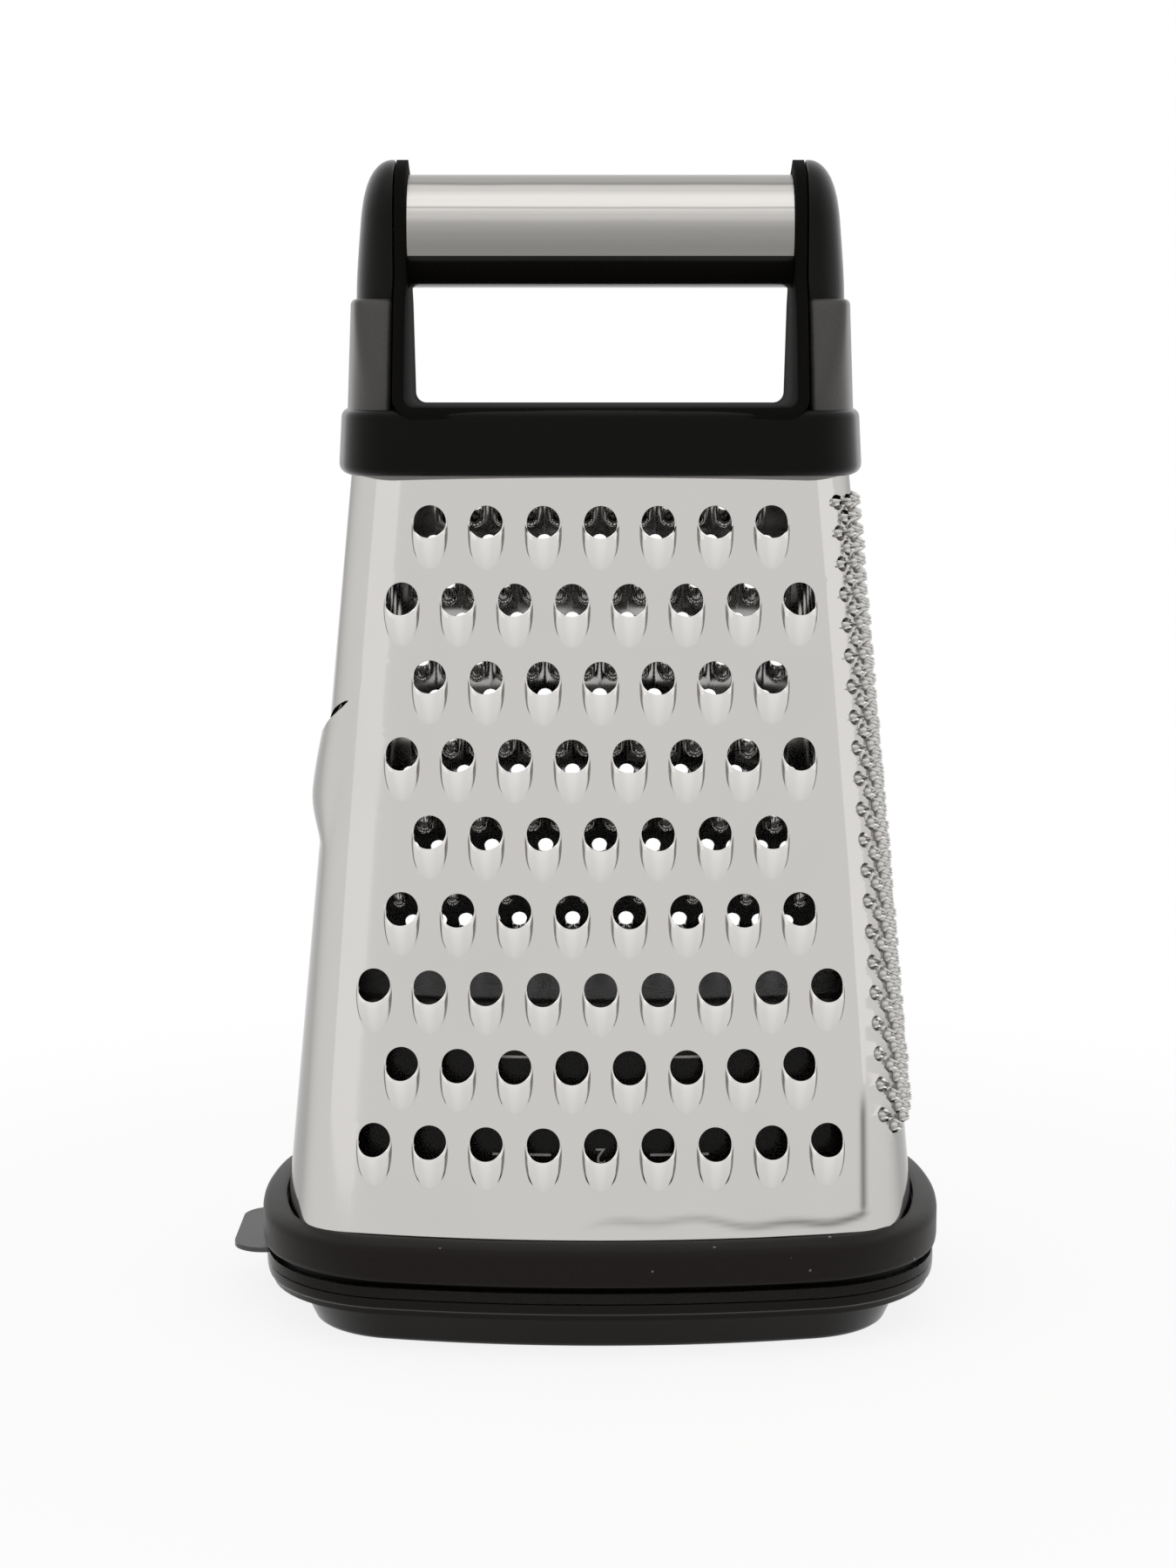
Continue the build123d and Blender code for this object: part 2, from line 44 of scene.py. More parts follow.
def bowRadii(halfWidth, halfDepth, frontShare=bow["front"]):
    # radii of the front's and the side's arc from their rise over the straight line between corners
    frontRise, sideRise = frontShare * halfWidth, bow["side"] * halfDepth
    chordX, chordY = halfWidth - sideRise, halfDepth - frontRise
    return ((chordX ** 2 + frontRise ** 2) / (2 * frontRise),
            (chordY ** 2 + sideRise ** 2) / (2 * sideRise))


def quarterArcs(halfWidth, halfDepth, corner, frontRadius, sideRadius):
    # the quarter at +X, -Y: arcs about (0, frontY), (cornerX, cornerY) and (sideX, 0)
    frontY, sideX = frontRadius - halfDepth, halfWidth - sideRadius
    frontReach, sideReach = frontRadius - corner, sideRadius - corner
    gap = math.hypot(sideX, frontY)
    along = (frontReach ** 2 - sideReach ** 2 + gap ** 2) / (2 * gap)
    off = math.sqrt(max(frontReach ** 2 - along ** 2, 0))
    ux, uy = sideX / gap, -frontY / gap
    options = [(along * ux - off * uy, frontY + along * uy + off * ux),
               (along * ux + off * uy, frontY + along * uy - off * ux)]
    cornerX, cornerY = max(options, key=lambda p: p[0] - p[1])
    frontAngle = math.atan2(cornerX, frontY - cornerY)      # from straight ahead
    sideAngle = math.atan2(-cornerY, cornerX - sideX)       # from straight right
    return frontY, sideX, cornerX, cornerY, frontAngle, sideAngle


def onArc(centreX, centreY, radius, angle):
    return centreX + radius * math.sin(angle), centreY - radius * math.cos(angle)


def outlineQuarter(halfWidth, halfDepth, corner, radii=None, counts=(10, 12, 8)):
    # points from the middle of the front to the middle of the right side
    frontRadius, sideRadius = radii or bowRadii(halfWidth, halfDepth)
    frontY, sideX, cornerX, cornerY, frontAngle, sideAngle = \
        quarterArcs(halfWidth, halfDepth, corner, frontRadius, sideRadius)
    sideStart = math.pi / 2 - sideAngle
    arcs = ((0, frontY, frontRadius, 0, frontAngle), (cornerX, cornerY, corner, frontAngle, sideStart),
            (sideX, 0, sideRadius, sideStart, math.pi / 2))
    points = []
    for (centreX, centreY, radius, start, end), count in zip(arcs, counts):
        points += [onArc(centreX, centreY, radius, between(start, end, i / count)) for i in range(count)]
    return points + [(halfWidth, 0.0)]


def outlineLoop(halfWidth, halfDepth, corner, z, radii=None):
    # whole outline, anticlockwise from the middle of the front
    quarter = outlineQuarter(halfWidth, halfDepth, corner, radii)
    right = quarter + [(x, -y) for x, y in reversed(quarter[:-1])]
    left = [(-x, y) for x, y in reversed(right[1:-1])]
    return [Vector((x, y, z)) for x, y in right + left]


def grown(size, by, z):
    # outline of a (half width, half depth, corner) size, grown outwards
    return outlineLoop(size[0] + by, size[1] + by, size[2] + by, z)


def between(start, end, share):
    return start + (end - start) * share


def smoothStep(edge0, edge1, x):
    t = min(max((x - edge0) / (edge1 - edge0), 0), 1)
    return t * t * (3 - 2 * t)


def addPiece(name, bm, body, slot, *materials):
    mesh = bpy.data.meshes.new(name)
    bm.to_mesh(mesh)
    bm.free()
    piece = bpy.data.objects.new(name, mesh)
    bpy.context.scene.collection.objects.link(piece)
    for material in materials:
        mesh.materials.append(material)
    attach(piece, body)
    return piece


def finishMesh(name, bm, body, slot, material, sharp=35):
    # smooth faces, with a sharp edge where they turn by more than so many degrees
    bmesh.ops.recalc_face_normals(bm, faces=bm.faces[:])
    for face in bm.faces:
        face.smooth = True
    for edge in bm.edges:
        if len(edge.link_faces) == 2 and edge.calc_face_angle(0) > math.radians(sharp):
            edge.smooth = False
    return addPiece(name, bm, body, slot, material)


def skinPiece(name, node, loops, material, body="grater", slot="black_plastic", sharp=35,
              closedProfile=False, openStart=False):
    # a skin over a row of loops with equally many points, in place of a node of the frame
    bm = bmesh.new()
    rows = [[bm.verts.new(p * mm) for p in loop] for loop in loops]
    for row, following in zip(rows, rows[1:] + (rows[:1] if closedProfile else [])):
        for i in range(len(row)):
            j = (i + 1) % len(row)
            bm.faces.new((row[i], row[j], following[j], following[i]))
    if not closedProfile:
        if not openStart:
            bm.faces.new(rows[0][::-1])
        bm.faces.new(rows[-1])
    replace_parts(finishMesh(name, bm, body, slot, material, sharp), node)


def feed(tree, node, inputs):
    # links or sets each input of a node
    for label, value in inputs.items():
        socket = node.inputs[label]
        if hasattr(value, "links"):
            tree.links.new(value, socket)
        elif socket.type == "RGBA":
            socket.default_value = (*value, 1)
        else:
            socket.default_value = value


def addNode(tree, kind, inputs, **settings):
    node = tree.nodes.new("ShaderNode" + kind)
    for name, value in settings.items():
        setattr(node, name, value)
    feed(tree, node, inputs)
    return node


def mathNode(tree, kind, *values, clamp=False):
    return addNode(tree, "Math", dict(enumerate(values)), operation=kind, use_clamp=clamp).outputs[0]


def noiseNode(tree, vector, scale, detail=3, roughness=0.5, stretch=None):
    if stretch:
        vector = addNode(tree, "Mapping", {"Vector": vector, "Scale": stretch}).outputs["Vector"]
    inputs = {"Vector": vector, "Scale": scale, "Detail": detail, "Roughness": roughness}
    return addNode(tree, "TexNoise", inputs).outputs["Fac"]


def mixColour(tree, share, first, second, kind="MIX"):
    mix = addNode(tree, "Mix", {}, data_type="RGBA", blend_type=kind)
    feed(tree, mix, {"Factor": share, "A": first, "B": second})
    return mix.outputs["Result"]


def newMaterial(name):
    material = bpy.data.materials.new(name)
    material.use_nodes = True
    return material, material.node_tree, material.node_tree.nodes["Principled BSDF"]


def objectCoords(tree):
    return addNode(tree, "TexCoord", {}).outputs["Object"]


def newGroup(name, values, *results):
    # a node group with a Vector, number inputs and number outputs
    group = bpy.data.node_groups.new(name, "ShaderNodeTree")
    group.interface.new_socket(name="Vector", in_out="INPUT", socket_type="NodeSocketVector")
    for label, value in values.items():
        socket = group.interface.new_socket(name=label, in_out="INPUT", socket_type="NodeSocketFloat")
        socket.default_value = value
    for label in results:
        group.interface.new_socket(name=label, in_out="OUTPUT", socket_type="NodeSocketFloat")
    return group, group.nodes.new("NodeGroupInput").outputs, group.nodes.new("NodeGroupOutput")


def makeDustGroup():
    # small pale specks and short fibres; Mask is 1 on a speck
    group, given, result = newGroup("dustSpecks", {"Scale": 300, "Amount": 0.1}, "Mask")
    cells = addNode(group, "TexVoronoi", {"Vector": given["Vector"], "Scale": given["Scale"]})
    rare = mathNode(group, "LESS_THAN", cells.outputs["Color"], given["Amount"])
    spot = mathNode(group, "SUBTRACT", 0.32, cells.outputs["Distance"])
    spot = mathNode(group, "MULTIPLY", spot, 6, clamp=True)
    patches = mathNode(group, "MULTIPLY", noiseNode(group, given["Vector"], 45, 2), 1.6, clamp=True)
    mask = mathNode(group, "MULTIPLY", rare, spot)
    feed(group, result, {"Mask": mathNode(group, "MULTIPLY", mask, patches)})
    return group


def makeGrainGroup():
    # spark-eroded mould grain: Height for a bump and Fleck for a slight change of tone
    group, given, result = newGroup("mouldGrain", {"Scale": 1500}, "Height", "Fleck")
    fine = noiseNode(group, given["Vector"], given["Scale"], 2, 0.6)
    cells = addNode(group, "TexVoronoi", {"Vector": given["Vector"], "Scale": given["Scale"]})
    both = mathNode(group, "ADD", fine, cells.outputs["Distance"])
    fleck = mathNode(group, "SUBTRACT", fine, 0.56)
    feed(group, result, {"Height": mathNode(group, "MULTIPLY", both, 0.5),
                         "Fleck": mathNode(group, "MULTIPLY", fleck, 6, clamp=True)})
    return group


def makeBrushGroup():
    # fine parallel scratches along X; Streak runs 0 to 1
    group, given, result = newGroup("brushStreaks", {"Scale": 1}, "Streak")
    fine = noiseNode(group, given["Vector"], given["Scale"], 4, 0.7, stretch=(9, 2600, 2600))
    broad = noiseNode(group, given["Vector"], given["Scale"], 2, 0.5, stretch=(4, 420, 420))
    mixed = mathNode(group, "MULTIPLY", fine, 0.7)
    feed(group, result, {"Streak": mathNode(group, "MULTIPLY_ADD", broad, 0.3, mixed)})
    return group


def makeSmudgeGroup():
    # faint wiping marks and finger smudges on polished metal
    group, given, result = newGroup("smudges", {"Scale": 22}, "Smudge", "Wave")
    soft = mathNode(group, "SUBTRACT", noiseNode(group, given["Vector"], given["Scale"], 5, 0.55), 0.5)
    wave = noiseNode(group, given["Vector"], given["Scale"], 1, 0.3, stretch=(0.6, 0.6, 1.4))
    feed(group, result, {"Smudge": mathNode(group, "MULTIPLY", soft, 4, clamp=True), "Wave": wave})
    return group


dustGroup, grainGroup = makeDustGroup(), makeGrainGroup()
brushGroup, smudgeGroup = makeBrushGroup(), makeSmudgeGroup()


def placeGroup(tree, group, vector, **values):
    return addNode(tree, "Group", {"Vector": vector, **values}, node_tree=group).outputs


def bumpNode(tree, height, strength, distance):
    bump = addNode(tree, "Bump", {"Strength": strength, "Distance": distance, "Height": height})
    return bump.outputs["Normal"]


# pressed metal with painted shading: painted highlights on the crests of the lips and crowns, painted shade
# in their creases and along the crease; the edges' tint keeps the sheet's turned-away edges grey against the
# white background
steelTones = {"smudged": 0.03, "paintedHighlightTone": (0.76, 0.745, 0.725), "paintedShadeTone": (0.16, 0.155, 0.15),
              "edges": (0.55, 0.55, 0.55)}


def steelMaterial(name, colour, roughness, wave, withPaintedShading=False):
    material, tree, shader = newMaterial(name)
    smudges = placeGroup(tree, smudgeGroup, objectCoords(tree), Scale=22)
    darker = tuple(c * (1 - steelTones["smudged"]) for c in colour)
    tone = mixColour(tree, smudges["Smudge"], colour, darker)
    if withPaintedShading:
        # the mesh attribute read here paints highlight (above 0) and shade (below 0) into the steel's colour
        paintedShading = addNode(tree, "Attribute", {}, attribute_name="paintedShading").outputs["Fac"]
        paintedHighlightMask = mathNode(tree, "MULTIPLY", paintedShading, 1.0, clamp=True)
        paintedShadeMask = mathNode(tree, "MULTIPLY", paintedShading, -1.0, clamp=True)
        tone = mixColour(tree, paintedHighlightMask, tone, steelTones["paintedHighlightTone"])
        tone = mixColour(tree, paintedShadeMask, tone, steelTones["paintedShadeTone"])
    feed(tree, shader, {"Base Color": tone, "Metallic": 1, "Specular Tint": steelTones["edges"],
                        "Roughness": mathNode(tree, "MULTIPLY_ADD", smudges["Smudge"], 0.05, roughness),
                        "Normal": bumpNode(tree, smudges["Wave"], 1.0, wave)})
    return material


def plasticMaterial(name, colour, roughness, specular, grainScale, grainDepth, edgeGloss=0.0, dust=0.0):
    material, tree, shader = newMaterial(name)
    coords = objectCoords(tree)
    grain = placeGroup(tree, grainGroup, coords, Scale=grainScale)
    lighter = tuple(c * 1.9 for c in colour)
    tone = mixColour(tree, mathNode(tree, "MULTIPLY", grain["Fleck"], 0.25), colour, lighter)
    if dust:
        specks = placeGroup(tree, dustGroup, coords, Scale=650, Amount=dust)
        tone = mixColour(tree, specks["Mask"], tone, (0.35, 0.33, 0.31))
    cloud = noiseNode(tree, coords, 60, 3)
    # faces seen edge-on shine more than those seen straight on
    facing = addNode(tree, "LayerWeight", {"Blend": 0.5}).outputs["Facing"]
    edge = mathNode(tree, "POWER", facing, 2.0)
    feed(tree, shader, {"Base Color": tone, "Specular IOR Level": specular,
                        "Roughness": mathNode(tree, "MULTIPLY_ADD", cloud, 0.1, roughness - 0.05),
                        "Coat Roughness": roughness * 0.8, "Coat IOR": 1.8,
                        "Coat Weight": mathNode(tree, "MULTIPLY", edge, edgeGloss),
                        "Normal": bumpNode(tree, grain["Height"], 1.0, grainDepth)})
    return material


def smokyMaterial():
    material, tree, shader = newMaterial("smokyPlastic")
    haze = noiseNode(tree, objectCoords(tree), 40, 4)
    feed(tree, shader, {"Base Color": mixColour(tree, haze, (0.008, 0.007, 0.006), (0.013, 0.012, 0.010)),
                        "Roughness": mathNode(tree, "MULTIPLY_ADD", haze, 0.12, 0.2),
                        "Alpha": mathNode(tree, "MULTIPLY_ADD", haze, 0.08, 0.73),
                        "IOR": 1.5, "Specular IOR Level": 0.15})
    return material


# tones of the sleeve's painted reflection bands (painted shade on its lower third and top, two painted dark
# reflection lines), by their place between its foot and its top
sleeve = {"foot": 240.4, "top": 258.7,
          "paintedReflectionBands": {0: 0.46, 1: 0.62, 0.13: 0.43, 0.3: 0.52, 0.4: 0.64, 0.47: 0.86, 0.57: 0.9, 0.59: 0.55,
                    0.61: 0.96, 0.86: 0.97, 0.885: 0.45, 0.92: 0.6}}


def sleeveMaterial():
    # brushed along the bar, with painted reflections: a painted darker lower third and top, and two painted
    # dark reflection lines
    material, tree, shader = newMaterial("brushedSleevePaintedReflections")
    coords = objectCoords(tree)
    streak = placeGroup(tree, brushGroup, coords, Scale=1)["Streak"]
    tone = mixColour(tree, streak, (0.48, 0.465, 0.445), (0.68, 0.66, 0.635))
    height = addNode(tree, "SeparateXYZ", {0: coords}).outputs["Z"]
    level = addNode(tree, "MapRange", {"Value": height, "From Min": sleeve["foot"] * mm,
                                       "From Max": sleeve["top"] * mm}).outputs["Result"]
    wander = noiseNode(tree, coords, 30, 2, stretch=(1, 3, 3))
    level = mathNode(tree, "MULTIPLY_ADD", wander, 0.03, level)
    # this ramp paints reflection bands into the colour by height
    ramp = addNode(tree, "ValToRGB", {"Fac": level})
    stops = ramp.color_ramp.elements
    for position, value in sleeve["paintedReflectionBands"].items():
        stop = stops[int(position)] if position in (0, 1) else stops.new(position)
        stop.color = (value, value, value, 1)
    feed(tree, shader, {"Base Color": mixColour(tree, 1.0, tone, ramp.outputs["Color"], "MULTIPLY"),
                        "Roughness": mathNode(tree, "MULTIPLY_ADD", streak, 0.2, 0.18), "Metallic": 1,
                        "Normal": bumpNode(tree, streak, 0.6, 0.00002)})
    return material


# colour, roughness, specular level, scale and depth of the grain, gloss seen edge-on, dust
plastics = {
    "collarPlastic": ((0.004, 0.004, 0.0035), 0.40, 0.06, 2600, 0.00003, 0.9),
    # the shoulders' black is made lighter: painted light where their sloping fronts face the top lamp; its
    # coarser grain is its own
    "paintedLitShoulderPlastic": ((0.034, 0.032, 0.030), 0.42, 0.4, 1400, 0.00008, 0.6),
    "postPlastic": ((0.005, 0.005, 0.0045), 0.36, 0.08, 1400, 0.00006, 0.8),
    "loopPlastic": ((0.006, 0.006, 0.0055), 0.5, 0.0, 1400, 0.00006, 0.12),
    "ringRubber": ((0.010, 0.008, 0.007), 0.55, 0.10, 1800, 0.00002, 0.5, 0.09),
    "lidPlastic": ((0.007, 0.0055, 0.0045), 0.36, 0.10, 1500, 0.00001, 0.8, 0.03),
    "glossBlack": ((0.006, 0.0055, 0.005), 0.14, 0.14, 900, 0.000005, 1.0),
    "markPaint": ((0.42, 0.41, 0.40), 0.5, 0.2, 1500, 0.000005)}
plastic = {name: plasticMaterial(name, *finish) for name, finish in plastics.items()}
polishedSteel = steelMaterial("polishedSteel", (0.575, 0.56, 0.54), 0.07, 0.00004, withPaintedShading=True)
# a darker copy of the polished steel for the sheet's inside: painted shade
shadedInnerSteel = steelMaterial("shadedInnerSteel", (0.42, 0.41, 0.40), 0.07, 0.00004)
screwSteel = steelMaterial("screwSteel", (0.55, 0.55, 0.54), 0.25, 0.00001)

ownSolids = {"base_frame": plastic["collarPlastic"], "inner_retainer": plastic["collarPlastic"],
             "retainer_screws": screwSteel, "grip_underside": plastic["glossBlack"],
             "grip_sleeve": sleeveMaterial(), "storage_container": smokyMaterial()}
for nodeName, material in ownSolids.items():
    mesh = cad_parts[nodeName].data
    mesh.materials.clear()
    mesh.materials.append(material)
print("materials made")


steel = {"low": 17.5, "high": 200.0, "halfWidth": 73.7, "halfDepth": 50.4, "corner": 15.0,
         "frontSlope": 0.140, "sideSlope": 0.098, "frontBow": 252.0, "sideBow": 108.5, "sheet": 0.6}
slack = 0.01    # tolerance for comparing places, and the least width to divide by
arcCache = {}


def steelArcs(z):
    drop = z - steel["low"]
    frontDrop, sideDrop = drop * steel["frontSlope"], drop * steel["sideSlope"]
    return (steel["halfWidth"] - sideDrop, steel["halfDepth"] - frontDrop,
            steel["frontBow"] - frontDrop, steel["sideBow"] - sideDrop)


def arcsAt(z):
    key = round(z, 4)
    if key not in arcCache:
        halfWidth, halfDepth, frontRadius, sideRadius = steelArcs(z)
        arcs = quarterArcs(halfWidth, halfDepth, steel["corner"], frontRadius, sideRadius)
        frontAngle, sideAngle = arcs[-2:]
        turn = math.pi / 2 - frontAngle - sideAngle
        lengths = (frontRadius * frontAngle, steel["corner"] * turn, sideRadius * sideAngle)
        arcCache[key] = (frontRadius, sideRadius, *arcs[:-1], lengths)
    return arcCache[key]


def quarterLength(z):
    return sum(arcsAt(z)[-1])


def smoothSkin(s, z):
    # a point of the sheet's outside and its normal; s runs from the middle of the front towards +X
    frontRadius, sideRadius, frontY, sideX, cornerX, cornerY, frontAngle, lengths = arcsAt(z)
    quarter = sum(lengths)
    s = (s + 2 * quarter) % (4 * quarter) - 2 * quarter
    mirrorX = -1 if s < 0 else 1
    s = abs(s)
    mirrorY = 1
    if s > quarter:
        s, mirrorY = 2 * quarter - s, -1
    if s <= lengths[0]:
        a = s / frontRadius
        x, y = onArc(0, frontY, frontRadius, a)
    elif s <= lengths[0] + lengths[1]:
        a = frontAngle + (s - lengths[0]) / steel["corner"]
        x, y = onArc(cornerX, cornerY, steel["corner"], a)
    else:
        a = math.pi / 2 - (quarter - s) / sideRadius
        x, y = onArc(sideX, 0, sideRadius, a)
    up = steel["frontSlope"] * math.cos(a) ** 2 + steel["sideSlope"] * math.sin(a) ** 2
    normal = Vector((mirrorX * math.sin(a), -mirrorY * math.cos(a), up)).normalized()
    return Vector((mirrorX * x, mirrorY * y, z)), normal


# a shallow crease low along the front, which turns up at the right corner; shade, faint, darken, darkFrom and
# darkTo set the painted shade along it
crease = {"level": 28.5, "sway": 0.9, "swayRate": 0.11, "ripple": 0.5, "rippleRate": 0.31,
          "start": -6.0, "fadeIn": 12.0, "corner": 61.5, "turn": 3.0, "upright": 2.2, "top": 58.0,
          "fadeOut": 8.0, "clear": 6.0, "width": 0.8, "depth": 0.25,
          "shade": -0.9, "faint": 0.4, "darken": 0.6, "darkFrom": 15, "darkTo": 55}


def creaseDepth(s, z):
    start, corner, top, width = crease["start"], crease["corner"], crease["top"], crease["width"]
    if z > top + crease["clear"] or not start - crease["clear"] < s < corner + crease["clear"]:
        return 0.0
    line = crease["level"] + crease["sway"] * math.sin(s * crease["swayRate"])
    line += crease["ripple"] * math.sin(s * crease["rippleRate"] + 1)
    low = math.exp(-((z - line) / width) ** 2) * smoothStep(start, start + crease["fadeIn"], s)
    low *= 1 - smoothStep(corner - crease["turn"], corner, s)
    up = math.exp(-((s - corner + crease["upright"]) / width) ** 2) * smoothStep(line - 1, line + 2, z)
    up *= 1 - smoothStep(top - crease["fadeOut"], top, z)
    return crease["depth"] * max(low, up)


def creasePaintedShade(s, z):
    # painted shade along the crease, darker than the sheet, most of all towards the right corner
    rightward = crease["faint"] + crease["darken"] * smoothStep(crease["darkFrom"], crease["darkTo"], s)
    return crease["shade"] * creaseDepth(s, z) / crease["depth"] * rightward


def skinPoint(s, z):
    point, normal = smoothSkin(s, z)
    return point - normal * creaseDepth(s, z), normal


# a lip begins and is full at shares of the hole's radius above and below its centre, its painted shading
# likewise
lip = {"taper": 3.2, "round": 3, "begin": 0.15, "full": 0.75, "shadeBegin": 0.3, "shadeFull": 0.5,
       "low": 0.3, "climb": 0.6, "dip": 0.45, "creaseDark": 0.4, "creaseClimb": 0.7}


def lipHalfWidth(dy, tool):
    # half width of the tongue at dy up from the hole's centre
    t = min(max(-dy / tool["lipLength"], 0), 1)
    return tool["lipWidth"] * math.sqrt(1 - t ** lip["taper"])


def lipHeight(dx, dy, tool):
    # height of a raised lip below a hole: dx across, dy up from the hole's centre
    length, radius = tool["lipLength"], tool["radius"]
    half = lipHalfWidth(dy, tool)
    if dy > radius * lip["begin"] or dy <= -length or abs(dx) >= half:
        return 0.0
    crest = tool["lipRise"] * min((length + dy) / (length - radius), 1)
    start = smoothStep(radius * lip["begin"], -radius * lip["full"], dy)
    return crest * start * math.sqrt(1 - (abs(dx) / half) ** lip["round"])


def lipPaintedShading(dx, dy, tool):
    # painted highlight above 0 on the tongue's crest, painted shade below 0 in the creases at the tongue's
    # sides
    length, radius = tool["lipLength"], tool["radius"]
    half = lipHalfWidth(dy, tool)
    if dy > radius * lip["shadeBegin"] or dy <= -length or abs(dx) > half + 0.05:
        return 0.0
    start = smoothStep(radius * lip["shadeBegin"], -radius * lip["shadeFull"], dy)
    climb = min((length + dy) / (length - radius), 1)
    side = abs(dx) / max(half, slack)
    crest = (lip["low"] + lip["climb"] * climb) * (1 - lip["dip"] * smoothStep(0.1, 0.5, side))
    crest *= 1 - smoothStep(0.8, 0.97, side)
    dark = lip["creaseDark"] * smoothStep(0.84, 0.93, side)
    return start * (crest - dark * (lip["low"] + lip["creaseClimb"] * climb))


def lipOutline(angle, tool):
    # distance from the hole's centre to the edge of the raised part, in one direction
    near, far = tool["lipWidth"], tool["lipLength"]
    if math.sin(angle) >= 0:
        return near
    for _ in range(30):
        r = (near + far) / 2
        if abs(r * math.cos(angle)) < lipHalfWidth(r * math.sin(angle), tool):
            near = r
        else:
            far = r
    return near


def bridge(bm, inner, outer):
    # a closed band of squares between two rings
    faces = []
    for i in range(len(inner)):
        j = (i + 1) % len(inner)
        faces.append(bm.faces.new((inner[i], outer[i], outer[j], inner[j])))
    return faces


def fillCell(bm, border, x, z, tool, surface):
    # rings round a hole and its lip, out to a border of (vertex, dx, dy)
    angles = [math.atan2(dy, dx) for _, dx, dy in border]
    directions = [(math.cos(a), math.sin(a)) for a in angles]
    outline = [lipOutline(a, tool) for a in angles]
    radius = tool["radius"]
    paintedShading = bm.verts.layers.float["paintedShading"]
    rows = []
    for t in tool["lipRings"]:
        drop = tool["rimDrop"] if t == 0 else 0
        row = []
        for (c, d), r in zip(directions, outline):
            r = between(radius, r, t)
            v = bm.verts.new(surface(x + c * r, z + d * r, drop) * mm)
            v[paintedShading] = lipPaintedShading(c * r, d * r, tool) if t < 1 else 0
            row.append(v)
        rows.append(row)
    for t in tool["plainRings"]:
        row = []
        for (c, d), r, (_, bx, by) in zip(directions, outline, border):
            dx, dy = between(c * r, bx, t), between(d * r, by, t)
            row.append(bm.verts.new(surface(x + dx, z + dy) * mm))
        rows.append(row)
    rows.append([v for v, _, _ in border])
    for inner, outer in zip(rows, rows[1:]):
        bridge(bm, inner, outer)


def makeLattice(bm, columns, levels, point, cells):
    # squares between numbered columns and levels, left open inside the cells
    inside, opened = set(), set()
    for k0, k1, m0, m1 in cells:
        inside.update((k, m) for k in range(k0 + 1, k1) for m in range(m0 + 1, m1))
        opened.update((k, m) for k in range(k0, k1) for m in range(m0, m1))
    grid = {(k, m): bm.verts.new(point(k, m) * mm) for m in levels for k in columns if (k, m) not in inside}
    for m in levels[:-1]:
        for k in columns[:-1]:
            if (k, m) not in opened:
                bm.faces.new((grid[k, m], grid[k + 1, m], grid[k + 1, m + 1], grid[k, m + 1]))
    return grid


def zipColumns(bm, left, right):
    # closes the strip between two upright rows of vertices, both from low to high
    i = j = 0
    while i < len(left) - 1 or j < len(right) - 1:
        leftNext = left[i + 1].co.z if i < len(left) - 1 else math.inf
        rightNext = right[j + 1].co.z if j < len(right) - 1 else math.inf
        if abs(leftNext - rightNext) < 1e-6:
            bm.faces.new((left[i], right[j], right[j + 1], left[i + 1]))
            i, j = i + 1, j + 1
        elif leftNext <= rightNext:
            bm.faces.new((left[i], right[j], left[i + 1]))
            i += 1
        else:
            bm.faces.new((left[i], right[j], right[j + 1]))
            j += 1


stretch = 0.3       # most that an outer level moves outwards to the sheet's edge, as a share of a step


def levelRange(top, step):
    # numbers of the lattice levels that cover the sheet, counted upwards from height top
    low = math.floor((steel["low"] - top) / step + stretch)
    high = math.ceil((steel["high"] - top) / step - stretch)
    return list(range(low, high + 1))


def levelAt(m, top, step, levels):
    if m == levels[0]:
        return steel["low"]
    if m == levels[-1]:
        return steel["high"]
    return top + m * step


# the zester's crowns stand in columns that spread like a fan from the top row's reach to the low row's
zester = {"topRow": 186.0, "lowRow": 46.0, "rowStep": 3.4, "columns": 8, "topReach": 19.0,
          "lowReach": 36.5, "foot": 1.75, "mouth": 0.8, "rise": 2.2, "edgeParts": 3,
          "seed": 3, "turn": 0.5, "lowest": 0.9, "uneven": 0.2}
slicer = {"level": 121.0, "halfHeight": 12.5, "halfLength": 24.5, "rise": 2.8, "peak": 0.42,
          "slotMiddle": 134.0, "slotEnd": 142.0, "slotOpening": 3.2, "lipRise": 1.5, "ease": 4.0,
          "above": 14.0, "patch": 1.12, "narrowFrom": 148.0, "narrowTo": 172.0, "narrowReach": 20.0,
          "across": 40, "lowLine": 26, "slotLine": 44, "highLine": 52, "lastLine": 73,
          "bendLines": 4, "shiftLines": 6, "slotPower": 4, "lipPower": 1.6, "endPower": 0.6}


def zesterPitch(z):
    along = (z - zester["lowRow"]) / (zester["topRow"] - zester["lowRow"])
    return between(zester["lowReach"], zester["topReach"], along) / zester["columns"]


def slicerReach(z):
    # half width of the slicer's patch, narrower above the slot
    narrow = min(max((z - slicer["narrowFrom"]) / (slicer["narrowTo"] - slicer["narrowFrom"]), 0), 1)
    wide = slicer["halfLength"] * slicer["patch"]
    return between(wide, slicer["narrowReach"], narrow)


seam, leastRoom = 1.5, 0.5      # plain steel left between two sides, and room for drawn-in columns


def fitted(s, kept, widest, z):
    # draws the columns outside the kept ones in, clear of the patches on both sides
    if abs(s) <= kept or widest <= kept:
        return s
    limit = quarterLength(z) - max(slicerReach(z), (zester["columns"] + 1) * zesterPitch(z)) - seam
    share = min(1, max(limit - kept, leastRoom) / (widest - kept))
    return math.copysign(kept + (abs(s) - kept) * share, s)


